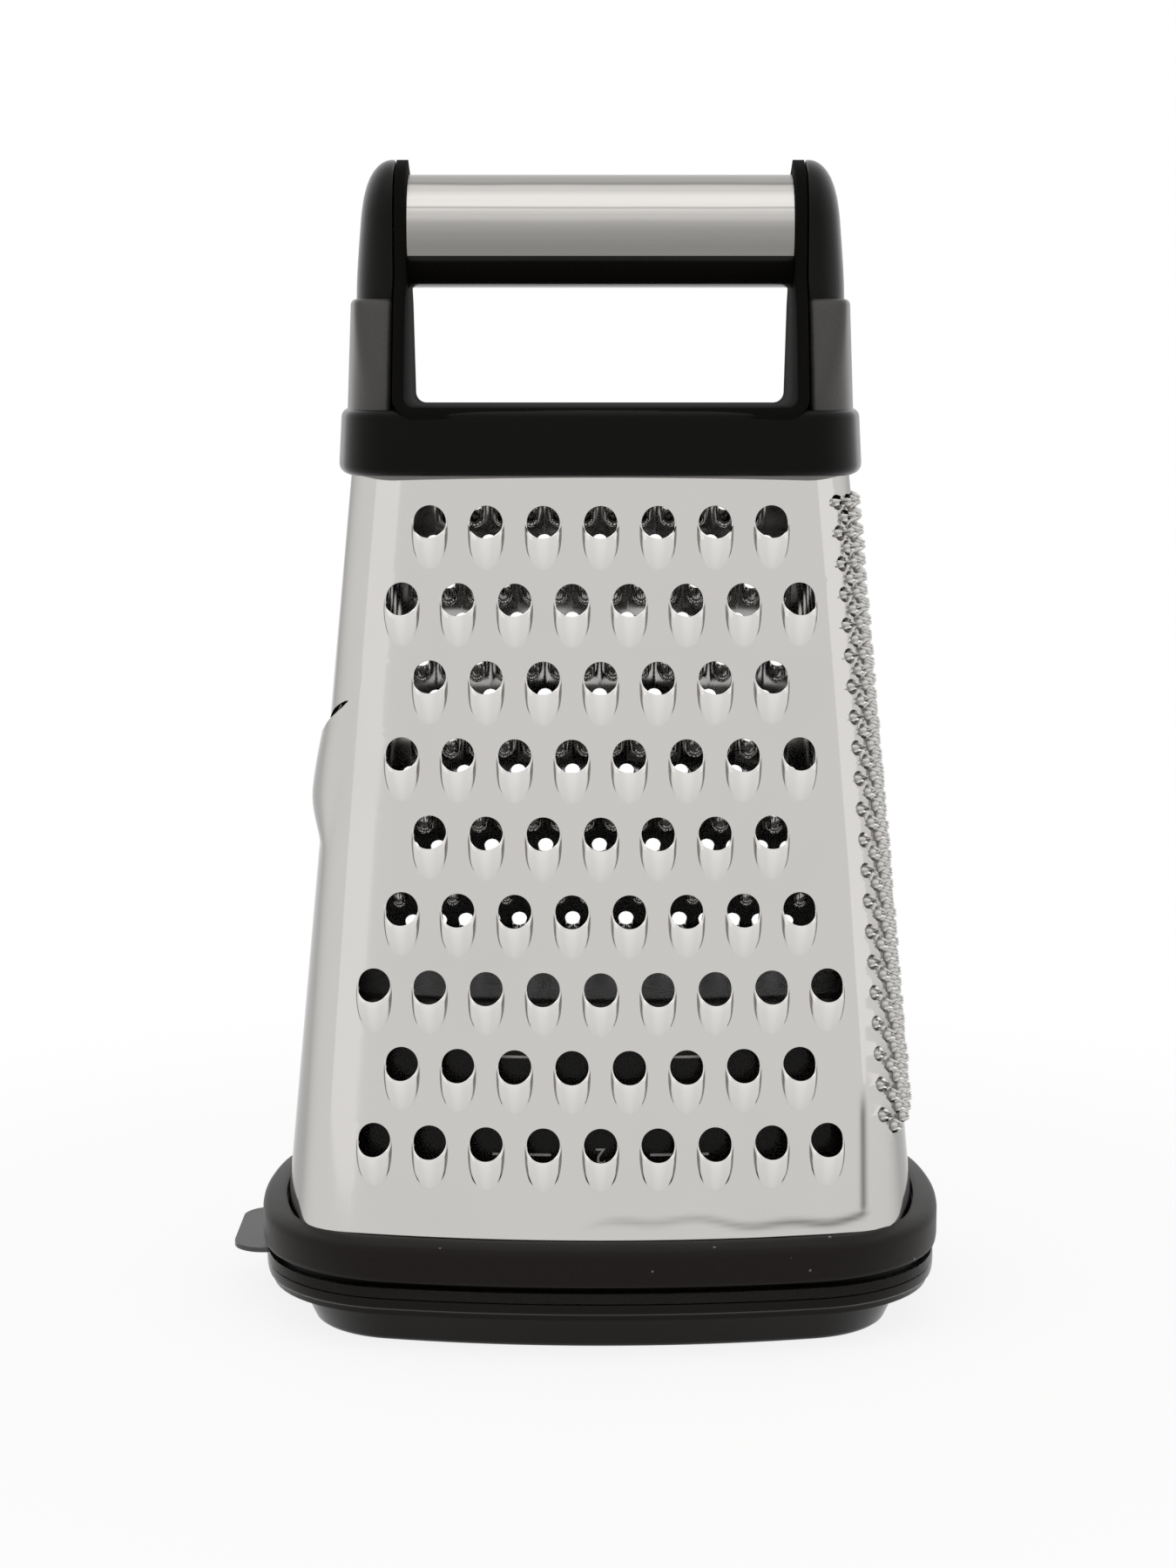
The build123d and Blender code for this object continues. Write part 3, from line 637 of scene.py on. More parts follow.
# across, down and above count the lattice lines of a hole's cell; the rings are shares of the way
# from the hole's edge to its lip's, and from there to the cell's
coarse = {"radius": 3.65, "pitch": 12.67, "rowStep": 17.0, "topRow": 182.0,
          "rows": (7, 8, 7, 8, 7, 8, 9, 8, 9), "across": 16, "down": 20, "above": 5,
          "lipWidth": 4.1, "lipLength": 10.5, "lipRise": 2.2, "rimDrop": 0.18,
          "lipRings": (0, 0.1, 0.3, 0.5, 0.68, 0.82, 0.92, 1), "plainRings": (0.03, 0.3)}
medium = {"radius": 1.9, "pitch": 6.6, "rowStep": 9.4, "topRow": 183.5, "rowCount": 15,
          "margin": 16.0, "across": 6, "down": 8, "above": 2,
          "lipWidth": 2.1, "lipLength": 5.6, "lipRise": 1.3, "rimDrop": 0.1,
          "lipRings": (0, 0.35, 0.7, 1), "plainRings": (0.15,)}


def pressHoles(bm, tool, byRow, below, over, around):
    # one side with raised holes: byRow holds their places across by height, around gives a place
    # on the sheet's outline, and columns near a row, from below to over it, stay in place
    across, down, above, top = tool["across"], tool["down"], tool["above"], tool["topRow"]
    step, upStep = tool["pitch"] / across, tool["rowStep"] / tool["down"]
    levels = levelRange(top, upStep)
    widest = round(max(max(xs) for xs in byRow.values()) / step) + across // 2
    columns = list(range(-widest, widest + 1))
    rowReach = {rowZ: max(xs) + tool["pitch"] / 2 for rowZ, xs in byRow.items()}

    def keepTo(z):
        near = [reach for rowZ, reach in rowReach.items() if -below - slack <= z - rowZ <= over + slack]
        return max(near) if near else rowReach[min(rowReach, key=lambda rowZ: abs(rowZ - z))]

    def placeAcross(k, z):
        return fitted(k * step, keepTo(z), widest * step, z)

    def raised(s, z):
        best = 0.0
        for rowZ, xs in byRow.items():
            if -tool["lipLength"] < z - rowZ < tool["radius"] * lip["begin"]:
                for x in xs:
                    if abs(s - x) < tool["lipWidth"]:
                        best = max(best, lipHeight(s - x, z - rowZ, tool))
        return best

    def surface(s, z, drop=0.0):
        point, normal = skinPoint(around(s, z), z)
        return point + normal * (raised(s, z) - drop)

    def latticePoint(k, m):
        z = levelAt(m, top, upStep, levels)
        return surface(placeAcross(k, z), z)

    cells = []
    for z, xs in byRow.items():
        for x in xs:
            k, m = round(x / step), round((z - top) / upStep)
            cells.append((k - across // 2, k + across // 2, m - (down - above), m + above, x, z))
    grid = makeLattice(bm, columns, levels, latticePoint, [cell[:4] for cell in cells])
    paintedShading = bm.verts.layers.float["paintedShading"]
    for (k, m), v in grid.items():
        z = v.co.z / mm
        v[paintedShading] = creasePaintedShade(around(placeAcross(k, z), z), z)
    for k0, k1, m0, m1, x, z in cells:
        keys = [(k, m0) for k in range(k0, k1)] + [(k1, m) for m in range(m0, m1)]
        keys += [(k, m1) for k in range(k1, k0, -1)] + [(k0, m) for m in range(m1, m0, -1)]
        border = [(grid[k, m], k * step - x, top + m * upStep - z) for k, m in keys]
        fillCell(bm, border, x, z, tool, surface)
    first, last = ([grid[k, m] for m in levels] for k in (columns[0], columns[-1]))
    return first, last, lambda z: placeAcross(columns[-1], z)


def spread(count, pitch):
    # places of one row, even about the middle
    return [(i - (count - 1) / 2) * pitch for i in range(count)]


def makeFront(bm):
    byRow = {}
    for row, count in enumerate(coarse["rows"]):
        byRow[coarse["topRow"] - row * coarse["rowStep"]] = spread(count, coarse["pitch"])
    step = coarse["rowStep"] / coarse["down"]
    return pressHoles(bm, coarse, byRow, (coarse["down"] - coarse["above"]) * step, coarse["above"] * step,
                      lambda s, z: s)


def makeBack(bm):
    byRow = {}
    for row in range(medium["rowCount"]):
        z = medium["topRow"] - row * medium["rowStep"]
        reach = steelArcs(z)[0] - medium["margin"]
        odd = (row + 1) % 2
        count = 2 * math.floor(reach / medium["pitch"] + odd / 2) + 1 - odd
        byRow[z] = spread(count, medium["pitch"])
    # seen from behind, s runs the other way round
    first, last, reach = pressHoles(bm, medium, byRow, medium["rowStep"], medium["rowStep"],
                                    lambda s, z: 2 * quarterLength(z) - s)
    return last, first, reach


def makeRight(bm):
    # staggered crowns on a fan of columns; each crown fills a diamond of the lattice
    top, rowStep, parts = zester["topRow"], zester["rowStep"], zester["edgeParts"]
    rowCount = round((top - zester["lowRow"]) / rowStep)
    levels = levelRange(top, rowStep)
    reach = zester["columns"] + 1
    columns = list(range(-reach, reach + 1))
    crownTurns = random.Random(zester["seed"])
    paintedShading = bm.verts.layers.float["paintedShading"]
    facets = bm.faces.layers.int["facets"]
    verts, edges = {}, {}

    def surface(t, z, rise=0.0):
        point, normal = skinPoint(quarterLength(z) + t, z)
        return point + normal * rise

    def heightAt(m):
        return levelAt(m, top, rowStep, levels)

    def vertex(k, m):
        if (k, m) not in verts:
            z = heightAt(m)
            verts[k, m] = bm.verts.new(surface(k * zesterPitch(z), z) * mm)
        return verts[k, m]

    def isCrown(k, m):
        return (k + m) % 2 == 0 and -rowCount <= m <= 0 and abs(k) <= zester["columns"]

    def edgeVerts(a, b):
        # the points between two lattice points, made once and shared by the faces on both sides
        key = (a, b) if a < b else (b, a)
        if key not in edges:
            (k0, m0), (k1, m1) = key
            edges[key] = []
            for i in range(1, parts):
                k, z = between(k0, k1, i / parts), between(heightAt(m0), heightAt(m1), i / parts)
                edges[key].append(bm.verts.new(surface(k * zesterPitch(z), z) * mm))
        return edges[key] if a < b else edges[key][::-1]

    def crown(k, m):
        z = heightAt(m)
        pitch = zesterPitch(z)
        corners = [(k + 1, m), (k, m + 1), (k - 1, m), (k, m - 1)]
        border = []
        for a, b in zip(corners, corners[1:] + corners[:1]):
            border.append(vertex(*a))
            border += edgeVerts(a, b)
        turn = crownTurns.random() * zester["turn"]
        tall = zester["rise"] * (zester["lowest"] + zester["uneven"] * crownTurns.random())
        foot = zester["foot"]
        rings = [[], [], [], [], []]
        for i in range(len(border)):
            a = i // parts * math.pi / 2 + (i % parts) / parts * math.pi / 2
            # jagged petals: every other point of the mouth stands up and out
            petal = i % 2
            mouth = zester["mouth"] * (0.55 + 0.5 * petal + 0.3 * math.sin(2 * a + turn))
            # radius, rise and painted shading of each ring, from the foot to the mouth: painted shade round
            # the foot, painted highlight on the petals
            profile = ((foot * 1.06, 0.0, 0.0), (foot * 0.98, 0.05, -0.9),
                       (foot * (0.74 + 0.14 * petal), 0.36 * tall, -0.6 + 0.9 * petal),
                       (foot * (0.5 + 0.16 * petal), 0.66 * tall, 1.2 * petal - 0.6),
                       (mouth, tall * (0.6 + 0.4 * petal), 1.2 * petal - 0.9))
            for ring, (radius, rise, shade) in zip(rings, profile):
                point = surface(k * pitch + radius * math.cos(a), z + radius * math.sin(a), rise)
                v = bm.verts.new(point * mm)
                v[paintedShading] = shade
                ring.append(v)
        for number, (outer, inner) in enumerate(zip([border] + rings, rings)):
            for face in bridge(bm, inner, outer):
                face[facets] = int(number > 1)

    for m in levels:
        for k in columns:
            if isCrown(k, m):
                crown(k, m)
    # the rest of the patch is squares, or the halves of squares beside the crowns' diamonds
    for m in levels[:-1]:
        for k in columns[:-1]:
            corners = [(k, m), (k + 1, m), (k + 1, m + 1), (k, m + 1)]
            centres = [i for i, corner in enumerate(corners) if isCrown(*corner)]
            if not centres:
                bm.faces.new([vertex(*corner) for corner in corners])
            elif len(centres) == 1:
                a, b, c = (corners[(centres[0] + i) % 4] for i in (1, 2, 3))
                bm.faces.new([vertex(*a), vertex(*b), vertex(*c)] + edgeVerts(c, a))
    first, last = ([vertex(k, m) for m in levels] for k in (columns[0], columns[-1]))
    return first, last, lambda z: reach * zesterPitch(z)


def makeLeft(bm):
    # slicer: the lattice line along the slot is doubled and spread, and the bulge lies below it
    half = slicer["across"] // 2
    lowLine, slotLine, highLine = slicer["lowLine"], slicer["slotLine"], slicer["highLine"]
    levels = list(range(slicer["lastLine"] + 1))
    bulgeFoot = slicer["level"] - slicer["halfHeight"]
    slotRise = slicer["slotEnd"] - slicer["slotMiddle"]
    heights = {0: steel["low"], lowLine: bulgeFoot - slicer["ease"], slotLine: slicer["slotMiddle"],
               highLine: slicer["slotMiddle"] + slicer["above"], levels[-1]: steel["high"]}

    def lineHeight(m):
        # the lines between two of those heights are shared out evenly
        upper = min(n for n in heights if n >= max(m, 1))
        lower = max(n for n in heights if n < upper)
        return between(heights[lower], heights[upper], (m - lower) / (upper - lower))

    def slotHalf(t):
        inside = 1 - (t / slicer["halfLength"]) ** slicer["slotPower"]
        return slicer["slotOpening"] / 2 * math.sqrt(inside) if inside > 0 else 0.0

    def bend(share, m):
        # the lines near the slot curve up towards its ends
        curve = slotRise * (share * slicer["patch"]) ** 2
        if m <= slotLine:
            return curve * smoothStep(lowLine - slicer["bendLines"], slotLine, m)
        return curve * (1 - smoothStep(slotLine, highLine + slicer["bendLines"], m))

    def bulge(t, z, m):
        out = t / slicer["halfLength"]
        v = (z - bulgeFoot) / (slicer["slotMiddle"] + slotRise * out ** 2 - bulgeFoot)
        if abs(out) >= 1 or m > slotLine or v <= 0:
            return 0.0
        v, peak = min(v, 1), slicer["peak"]
        if v < peak:
            profile = math.sin(math.pi / 2 * v / peak)
        else:
            fall = ((v - peak) / (1 - peak)) ** slicer["lipPower"]
            profile = 1 - (1 - slicer["lipRise"] / slicer["rise"]) * fall
        return slicer["rise"] * profile * (1 - out ** 2) ** slicer["endPower"]

    def newVert(t, z, m):
        point, normal = skinPoint(-quarterLength(z) - t, z)
        return bm.verts.new((point + normal * bulge(t, z, m)) * mm)

    grid, upper = {}, {}
    for m in levels:
        for k in range(-half, half + 1):
            z = lineHeight(m) + bend(k / half, m)
            t = k / half * slicerReach(z)
            opened = slotHalf(t)
            if m < slotLine:
                opened *= smoothStep(lowLine + slicer["shiftLines"], slotLine, m)
            elif m > slotLine:
                opened *= smoothStep(slotLine, highLine, m) - 1
            grid[k, m] = newVert(t, z - opened, m)
            if m == slotLine:
                upper[k] = newVert(t, z + opened, m + 1) if opened > 0 else grid[k, m]
    for m in levels[:-1]:
        for k in range(-half, half):
            a, b = (upper[k], upper[k + 1]) if m == slotLine else (grid[k, m], grid[k + 1, m])
            bm.faces.new((a, b, grid[k + 1, m + 1], grid[k, m + 1]))
    first, last = ([grid[k, m] for m in levels] for k in (-half, half))
    return last, first, slicerReach


def joinZones(bm, leftVerts, rightVerts, leftPlace, rightPlace, columns=8):
    # the turning strip between two sides: its own columns, zipped to the second side
    paintedShading = bm.verts.layers.float["paintedShading"]
    previous = leftVerts
    for c in range(1, columns):
        row = []
        for first in leftVerts:
            z = first.co.z / mm
            s = between(leftPlace(z), rightPlace(z), c / columns)
            v = bm.verts.new(skinPoint(s, z)[0] * mm)
            v[paintedShading] = creasePaintedShade(s, z)
            row.append(v)
        for i in range(len(row) - 1):
            bm.faces.new((previous[i], row[i], row[i + 1], previous[i + 1]))
        previous = row
    zipColumns(bm, previous, rightVerts)


def makeSteelBody():
    bm = bmesh.new()
    bm.verts.layers.float.new("paintedShading")
    facets = bm.faces.layers.int.new("facets")
    sides = []      # of each: its upright edges in the order of the outline, and its half width by height
    for name, make in {"front": makeFront, "right": makeRight, "back": makeBack, "left": makeLeft}.items():
        sides.append(make(bm))
        print(name, "done", len(bm.verts))
    for i, (_, edge, reach) in enumerate(sides):
        nextEdge, _, nextReach = sides[(i + 1) % len(sides)]
        joinZones(bm, edge, nextEdge, lambda z: i * quarterLength(z) + reach(z),
                  lambda z: (i + 1) * quarterLength(z) - nextReach(z))
    bmesh.ops.recalc_face_normals(bm, faces=bm.faces[:])
    for edge in bm.edges:
        if len(edge.link_faces) == 1:
            edge.smooth = False
    for face in bm.faces:
        face.smooth = not face[facets]
    piece = addPiece("steelSheet", bm, "grater", "steel", polishedSteel, shadedInnerSteel)
    sheet = piece.modifiers.new("thickness", "SOLIDIFY")
    sheet.thickness, sheet.offset, sheet.material_offset = steel["sheet"] * mm, -1, 1
    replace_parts(piece, "steel_body")


makeSteelBody()
print("steel body made")


# outlines as half width, half depth and corner; each profile row is an outline, its growth and its height
lid = {"panel": (68.4, 47.2, 22.0), "rim": (78.2, 55.4, 34.0), "mouth": (67.2, 44.2, 15.2),
       "pocket": (66.8, 45.6, 20.4),
       "profile": (("panel", -1.4, 0.0), ("panel", -0.7, 0.12), ("panel", -0.2, 0.5), ("panel", 0.1, 1.1),
                   ("panel", 1.8, 5.0), ("panel", 3.3, 8.0), ("panel", 3.9, 8.3), ("rim", -1.5, 8.3),
                   ("rim", -1.0, 8.42), ("rim", -0.85, 8.75), ("rim", -0.85, 9.45), ("rim", -0.7, 9.75),
                   ("rim", -0.35, 9.9), ("rim", 0.0, 10.3), ("rim", 0.0, 11.9), ("rim", -0.15, 12.25),
                   ("rim", -0.5, 12.4), ("mouth", 0.0, 12.4), ("mouth", -0.2, 12.0), ("mouth", -0.2, 7.0),
                   ("pocket", 0, 6.6), ("pocket", -0.3, 2.2), ("pocket", -1.0, 1.6))}
# the ring's mouth meets the steel at the middle of the front and stands off at the corners
ring = {"outer": (79.0, 56.0, 37.0), "seat": (75.6, 52.3, 24.0), "inner": (73.5, 50.1, 24.0),
        "profile": (("seat", 0.02, 16.3), ("outer", -1.1, 16.2), ("outer", -0.45, 16.35),
                    ("outer", -0.1, 16.75), ("outer", 0, 17.4), ("outer", 0, 22.6), ("outer", -0.15, 23.3),
                    ("outer", -0.6, 23.95), ("outer", -1.4, 24.4), ("inner", 1.5, 25.0),
                    ("inner", 0.5, 25.25), ("inner", 0.05, 25.15), ("inner", -0.1, 24.7),
                    ("inner", -0.1, 23.4), ("seat", 0.02, 23.05))}


def profileLoops(part):
    return [grown(part[outline], by, z) for outline, by, z in part["profile"]]


marks = {"levels": ((64.6, "1"), (42.9, "2")), "inner": 11.0, "outer": 24.0, "parts": 12, "thick": 0.55,
         "digit": 5.0, "proud": 0.06}


def markPiece():
    # measuring lines and plain numbers printed on the container's front, upside down like the container
    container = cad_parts["storage_container"]
    bm = bmesh.new()
    half, parts = marks["thick"] / 2, marks["parts"]

    def onFront(x, z):
        place = container.ray_cast(Vector((x, -100, z)) * mm, Vector((0, 1, 0)))[1]
        return bm.verts.new(place - Vector((0, marks["proud"] * mm, 0)))

    for level, digit in marks["levels"]:
        for side in (-1, 1):
            xs = [side * between(marks["inner"], marks["outer"], i / parts) for i in range(parts + 1)]
            low, high = ([onFront(x, level + up) for x in xs] for up in (-half, half))
            for i in range(parts):
                bm.faces.new((low[i], low[i + 1], high[i + 1], high[i]))
        text = bpy.data.curves.new("digit", "FONT")
        text.body, text.align_x, text.align_y, text.size = digit, "CENTER", "CENTER", marks["digit"]
        letter = bpy.data.objects.new("digit", text)
        flat = letter.to_mesh()
        corners = [onFront(-v.co.x, level - v.co.y) for v in flat.vertices]
        for face in flat.polygons:
            bm.faces.new([corners[i] for i in face.vertices])
        letter.to_mesh_clear()
        bpy.data.objects.remove(letter)
    finishMesh("measuringMarks", bm, "container", "smoky_plastic", plastic["markPaint"])


skinPiece("lidShell", "container_lid", profileLoops(lid), plastic["lidPlastic"], body="lid")
skinPiece("baseRing", "base_ring", profileLoops(ring), plastic["ringRubber"], slot="soft_black",
          closedProfile=True)
markPiece()
print("lid, ring and marks made")


collar = {"foot": 192.0, "top": 206.6, "halfWidth": 59.5, "halfDepth": 29.0, "corner": 13.0,
          "draft": 0.056, "footEdge": 2.4, "topEdge": 1.8, "edgeParts": 5, "gap": 0.1, "lap": 4.0}
shoulder = {"outer": 57.4, "outerTop": 56.4, "foot": 206.6, "sunk": 0.8, "top": 230.9, "halfDepth": 26.8,
            "halfDepthTop": 17.2, "outlineDepth": 27.0, "corner": 11.0, "inner": 46.15, "edge": 1.2,
            "levels": 12, "points": 120, "rounding": 9, "counts": (30, 24, 12),
            "edgeTurns": (0.4, 0.8, 1.2, math.pi / 2)}
web = {"opening": 43.3, "seam": 46.0, "seamGap": 0.1, "top": 262.0, "centre": 248.0, "dome": 14.0,
       "waist": 236.3, "waistDepth": 16.0, "cornerRadius": 2.4, "strip": 0.6, "shoulderGap": 0.2,
       "postParts": 18, "cornerParts": 8, "stripParts": 8, "thinnest": 0.02}
cap = {"footX": 55.0, "topX": 53.2, "footDepth": 15.2, "footDrop": 2, "waist": 240.0,
       "lineParts": 4, "domeParts": 24,
       "stations": ((46.15, 0.35), (46.3, 0.12), (46.6, 0.0), (47.5, 0.0), (48.6, 0.18), (49.8, 0.62),
                    (51.0, 1.35), (52.2, 2.45), (53.2, 3.8), (54.0, 5.5), (54.6, 7.6), (54.9, 9.8),
                    (55.0, 12.0))}


def collarPiece():
    foot, top, footEdge, topEdge = collar["foot"], collar["top"], collar["footEdge"], collar["topEdge"]

    def band(by, z):
        lean = (z - foot) * collar["draft"]
        halfWidth, halfDepth = collar["halfWidth"] + by - lean, collar["halfDepth"] + by - lean
        return outlineLoop(halfWidth, halfDepth, collar["corner"] + by - lean, z,
                           bowRadii(halfWidth, halfDepth, bow["collarFront"]))

    halfWidth, halfDepth, *radii = steelArcs(foot)
    inside = [outlineLoop(halfWidth + collar["gap"], halfDepth + collar["gap"],
                          steel["corner"] + collar["gap"], z, radii) for z in (foot + collar["lap"], foot)]
    turns = [math.pi / 2 * i / collar["edgeParts"] for i in range(collar["edgeParts"] + 1)]
    loops = [band(-footEdge + footEdge * math.sin(a), foot + footEdge - footEdge * math.cos(a))
             for a in turns]
    loops += [band(-topEdge + topEdge * math.cos(a), top - topEdge + topEdge * math.sin(a)) for a in turns]
    skinPiece("collarBand", "top_collar", inside + loops, plastic["collarPlastic"], openStart=True)


def evenLoop(points, count, rounding):
    # closed outline shared out evenly from its first point, with its corners rounded off
    lengths = [0.0]
    closed = points + points[:1]
    for a, b in zip(closed, closed[1:]):
        lengths.append(lengths[-1] + math.dist(a, b))
    even, n = [], 1
    for i in range(count):
        want = lengths[-1] * i / count
        while lengths[n] < want:
            n += 1
        f = (want - lengths[n - 1]) / max(lengths[n] - lengths[n - 1], 1e-9)
        even.append(tuple(between(p, q, f) for p, q in zip(closed[n - 1], closed[n])))
    for _ in range(rounding):
        even = [tuple((even[i - 1][c] + 2 * even[i][c] + even[(i + 1) % count][c]) / 4 for c in (0, 1))
                for i in range(count)]
    return even


def shoulderPiece(side):
    # the collar's rounded end carried up, cut by a sloping front and back
    top, foot, edge = shoulder["top"], shoulder["foot"] - shoulder["sunk"], shoulder["edge"]
    inner, outlineDepth = shoulder["inner"], shoulder["outlineDepth"]
    levels = [(between(foot, top - edge, i / shoulder["levels"]), 0.0) for i in range(shoulder["levels"] + 1)]
    levels += [(top - edge + edge * math.sin(a), edge * (1 - math.cos(a))) for a in shoulder["edgeTurns"]]
    loops = []
    for z, inset in levels:
        t = (z - shoulder["foot"]) / (top - shoulder["foot"])
        depth = between(shoulder["halfDepth"], shoulder["halfDepthTop"], t)
        outer = between(shoulder["outer"], shoulder["outerTop"], t)
        radii = bowRadii(outer, outlineDepth, bow["collarFront"])
        quarter = outlineQuarter(outer, outlineDepth, shoulder["corner"], radii, shoulder["counts"])
        half = [(x, max(y, -depth)) for x, y in quarter if x > inner]
        half = [(inner, half[0][1])] + half
        mirrored = [(x, -y) for x, y in reversed(half[:-1])]
        middle = (outer + inner) / 2
        acrossShare, depthShare = 1 - inset / (outer - middle), 1 - inset / depth
        loops.append([Vector((side * (middle + (x - middle) * acrossShare), y * depthShare, z))
                      for x, y in evenLoop(half + mirrored, shoulder["points"], shoulder["rounding"])])
    skinPiece("shoulderLeft" if side < 0 else "shoulderRight", "top_collar", loops,
              plastic["paintedLitShoulderPlastic"], sharp=60)


def postOutline(inset):
    # side view of a post: front line, dome, back line; inset shrinks it towards its middle
    foot, waist, parts = shoulder["top"] - cap["footDrop"], cap["waist"], cap["lineParts"]
    line, dome = [], []
    for i in range(parts + 1):
        depth = between(cap["footDepth"], web["dome"], i / parts)
        line.append((-depth + inset, between(foot, waist, i / parts)))
    for i in range(1, parts):
        line.append((-web["dome"] + inset, between(waist, web["centre"], i / parts)))
    radius = web["dome"] - inset
    for i in range(cap["domeParts"] + 1):
        a = math.pi * i / cap["domeParts"]
        dome.append((-radius * math.cos(a), web["centre"] + radius * math.sin(a)))
    return line + dome + [(-y, z) for y, z in reversed(line[:-1])]


def capPiece(side):
    # pillow-shaped outer shell of a post; the inset grows towards the outer side
    loops = []
    for x, inset in cap["stations"]:
        share = max(x - web["seam"], 0) / (cap["footX"] - web["seam"])
        loop = []
        for y, z in postOutline(inset):
            lean = (cap["footX"] - cap["topX"]) * smoothStep(shoulder["top"], web["top"], z)
            loop.append(Vector((side * (x - lean * share), y, z)))
        loops.append(loop)
    word = "left" if side < 0 else "right"
    skinPiece("cap" + word.capitalize(), "end_cap_" + word, loops, plastic["postPlastic"], sharp=60)


def loopDepth(z):
    # half depth of the handle's loop at a height
    if z >= web["centre"]:
        return math.sqrt(max(web["dome"] ** 2 - (z - web["centre"]) ** 2, 0.0))
    if z >= web["waist"]:
        return web["dome"]
    if z >= shoulder["top"]:
        t = (z - shoulder["top"]) / (web["waist"] - shoulder["top"])
        return between(web["waistDepth"], web["dome"], t)
    t = (z - shoulder["foot"]) / (shoulder["top"] - shoulder["foot"])
    return web["shoulderGap"] + between(shoulder["halfDepth"], shoulder["halfDepthTop"], t)


def handleLoop():
    # the webs of both posts and the strip between them, one band bent round the opening
    opening, radius, low = web["opening"], web["cornerRadius"], collar["top"] + web["strip"]
    path = []       # points of the opening's edge in front view, with the direction outwards
    for i in range(web["postParts"] + 1):
        path.append((-opening, between(web["top"], low + radius, i / web["postParts"]), -1.0, 0.0))
    for i in range(1, web["cornerParts"]):
        a = math.pi / 2 * i / web["cornerParts"]
        path.append((-opening + radius - radius * math.cos(a), low + radius - radius * math.sin(a),
                     -math.cos(a), -math.sin(a)))
    for i in range(web["stripParts"] + 1):
        path.append(((-opening + radius) * (1 - i / web["stripParts"]), low, 0.0, -1.0))
    path += [(-x, z, -nx, nz) for x, z, nx, nz in reversed(path[:-1])]
    thickness = web["seam"] - web["seamGap"] - opening
    # across the band, from the seam side round the front to the opening's face: share and inset
    section = ((1.0, 0.5), (0.93, 0.12), (0.8, 0.0), (0.35, 0.12), (0.12, 0.5), (0.0, 1.2))
    loops = []
    for x, z, nx, nz in path:
        loop = []
        for off, inset in section:
            px, pz = x + nx * thickness * off, z + nz * thickness * off
            loop.append(Vector((px, -max(loopDepth(pz) - inset, web["thinnest"]), pz)))
        loops.append(loop + [Vector((p.x, -p.y, p.z)) for p in reversed(loop)])
    skinPiece("handleLoop", "handle_frame", loops, plastic["loopPlastic"], sharp=50)


collarPiece()
for side in (-1, 1):
    shoulderPiece(side)
    capPiece(side)
handleLoop()
print("collar and handle made")


# the stage, the lamps and the eye are in metres
stage = {"halfSize": 40.0, "tone": (0.9, 0.9, 0.9), "whiteNear": 0.85, "shadowReach": 0.12,
         "whiteFrom": 0.35, "light": (1.0, 0.99, 0.98), "lightStrength": 0.8}
# position, target, size and watts
softboxes = {"leftBox": ((-1.1, -0.9, 0.6), (0, 0, 0.13), (1.2, 1.4), 0.9),
             "rightBox": ((1.2, -0.3, 0.6), (0, 0, 0.13), (0.8, 1.2), 0.6),
             "topBox": ((0, -0.5, 1.2), (0, 0, 0.1), (1.2, 0.8), 1.6)}
eye = {"x": -0.0028, "distance": 0.700, "height": 0.22286, "tilt": 8.374, "lens": 69.97, "sensor": 36}


def backgroundRays(tree):
    # 1 for the rays that show the background: straight to the camera, or by way of metal and glass
    rays = addNode(tree, "LightPath", {}).outputs
    seen = mathNode(tree, "MAXIMUM", rays["Is Camera Ray"], rays["Is Glossy Ray"])
    return mathNode(tree, "MAXIMUM", seen, rays["Is Transmission Ray"])


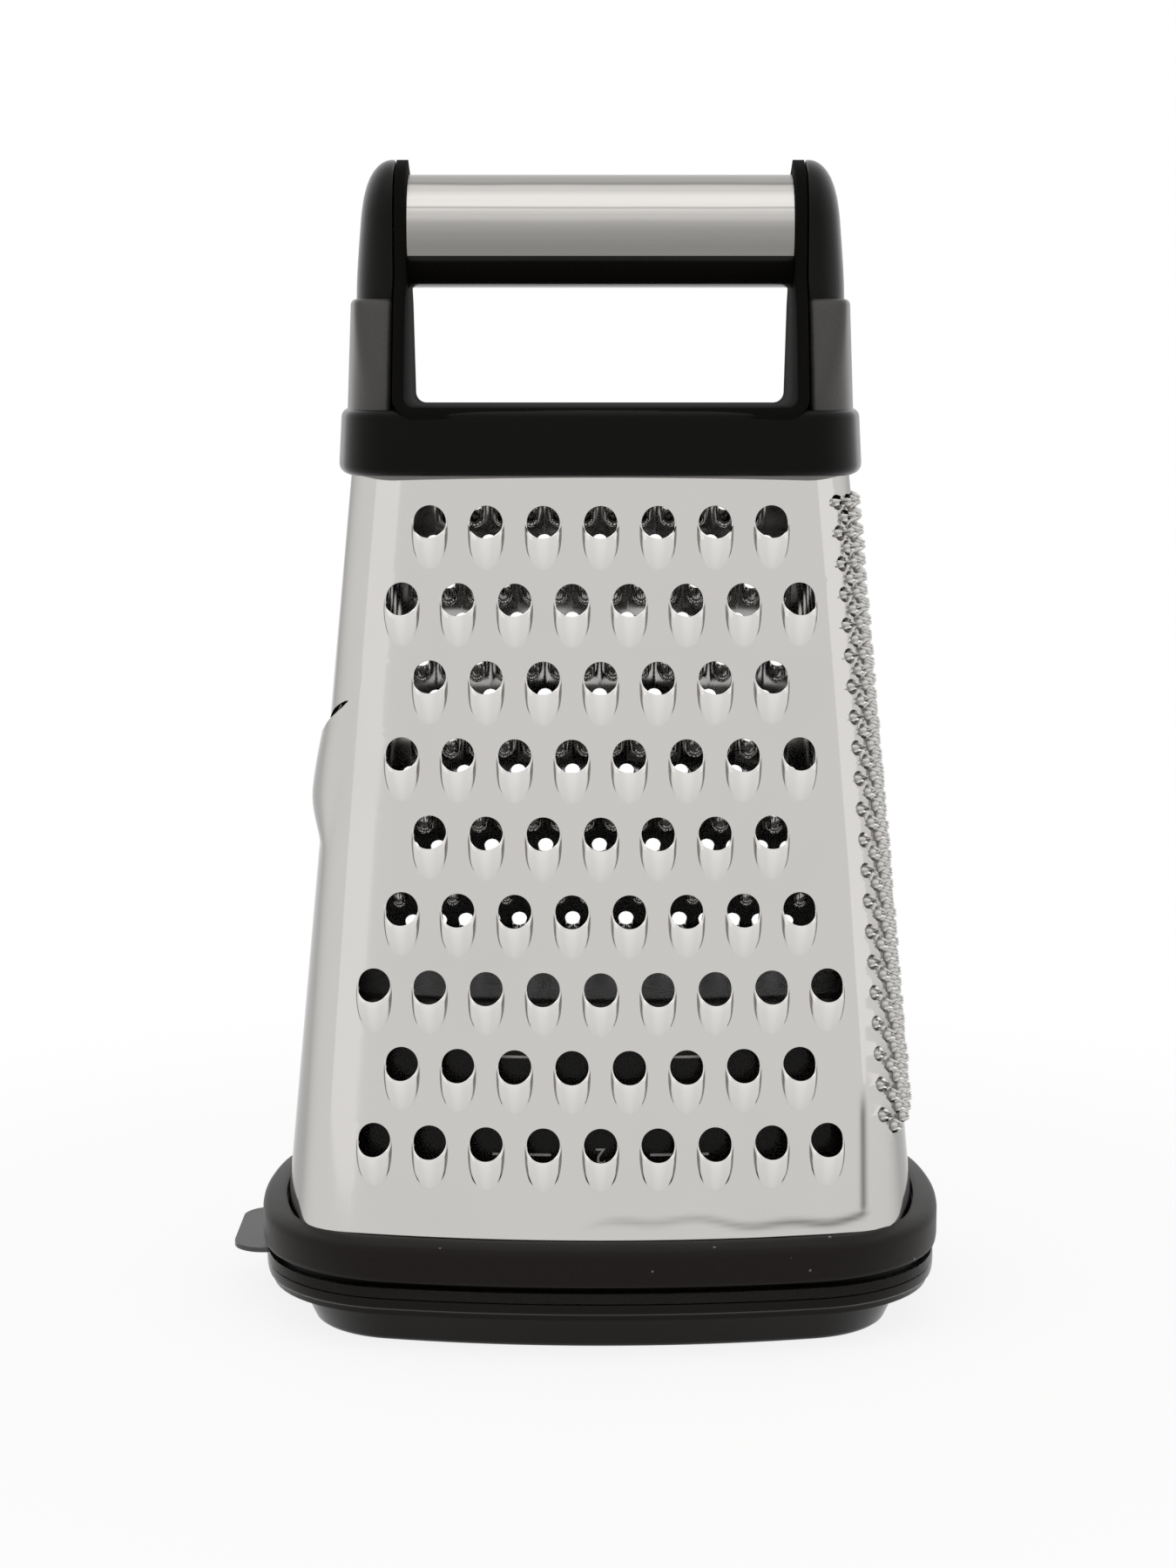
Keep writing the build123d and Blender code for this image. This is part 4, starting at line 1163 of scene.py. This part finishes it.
def makeFloor():
    size = stage["halfSize"]
    mesh = bpy.data.meshes.new("floor")
    mesh.from_pydata([(-size, -size, 0), (size, -size, 0), (size, size, 0), (-size, size, 0)], [],
                     [(0, 1, 2, 3)])
    floor = bpy.data.objects.new("floor", mesh)
    bpy.context.scene.collection.objects.link(floor)
    material, tree, shader = newMaterial("paleFloor")
    feed(tree, shader, {"Base Color": stage["tone"], "Roughness": 0.9, "Specular IOR Level": 0.1})
    glow = addNode(tree, "Emission", {})
    # the floor's own shading shows near the object, and fades into the white background further out
    away = addNode(tree, "VectorMath", {0: objectCoords(tree)}, operation="LENGTH").outputs["Value"]
    fade = addNode(tree, "MapRange", {"Value": away, "From Min": stage["shadowReach"],
                                      "From Max": stage["whiteFrom"], "To Min": stage["whiteNear"],
                                      "To Max": 1.0}, interpolation_type="SMOOTHSTEP")
    share = mathNode(tree, "MULTIPLY", backgroundRays(tree), fade.outputs["Result"])
    mix = addNode(tree, "MixShader", {0: share, 1: shader.outputs[0], 2: glow.outputs[0]})
    feed(tree, tree.nodes["Material Output"], {"Surface": mix.outputs[0]})
    mesh.materials.append(material)


def makeWorld():
    world = bpy.data.worlds.new("studio")
    bpy.context.scene.world = world
    world.use_nodes = True
    tree = world.node_tree
    soft = tree.nodes["Background"]
    feed(tree, soft, {"Color": stage["light"], "Strength": stage["lightStrength"]})
    white = addNode(tree, "Background", {"Color": (1, 1, 1)})
    mix = addNode(tree, "MixShader", {0: backgroundRays(tree), 1: soft.outputs[0], 2: white.outputs[0]})
    feed(tree, tree.nodes["World Output"], {"Surface": mix.outputs[0]})


def addSoftbox(name, position, target, size, watts):
    light = bpy.data.lights.new(name, "AREA")
    light.shape = "RECTANGLE"
    light.size, light.size_y = size
    light.energy = watts
    lamp = bpy.data.objects.new(name, light)
    lamp.location = position
    lamp.rotation_euler = (Vector(target) - Vector(position)).to_track_quat("-Z", "Y").to_euler()
    bpy.context.scene.collection.objects.link(lamp)


def makeCamera():
    data = bpy.data.cameras.new("camera")
    data.sensor_fit = "VERTICAL"
    data.sensor_height = eye["sensor"]
    data.lens = eye["lens"]
    camera = bpy.data.objects.new("camera", data)
    bpy.context.scene.collection.objects.link(camera)
    camera.location = (eye["x"], -eye["distance"], eye["height"])
    camera.rotation_euler = (math.radians(90 - eye["tilt"]), 0, 0)
    bpy.context.scene.camera = camera


makeFloor()
makeWorld()
for name, values in softboxes.items():
    addSoftbox(name, *values)
makeCamera()
bpy.context.scene.view_settings.view_transform = "Standard"
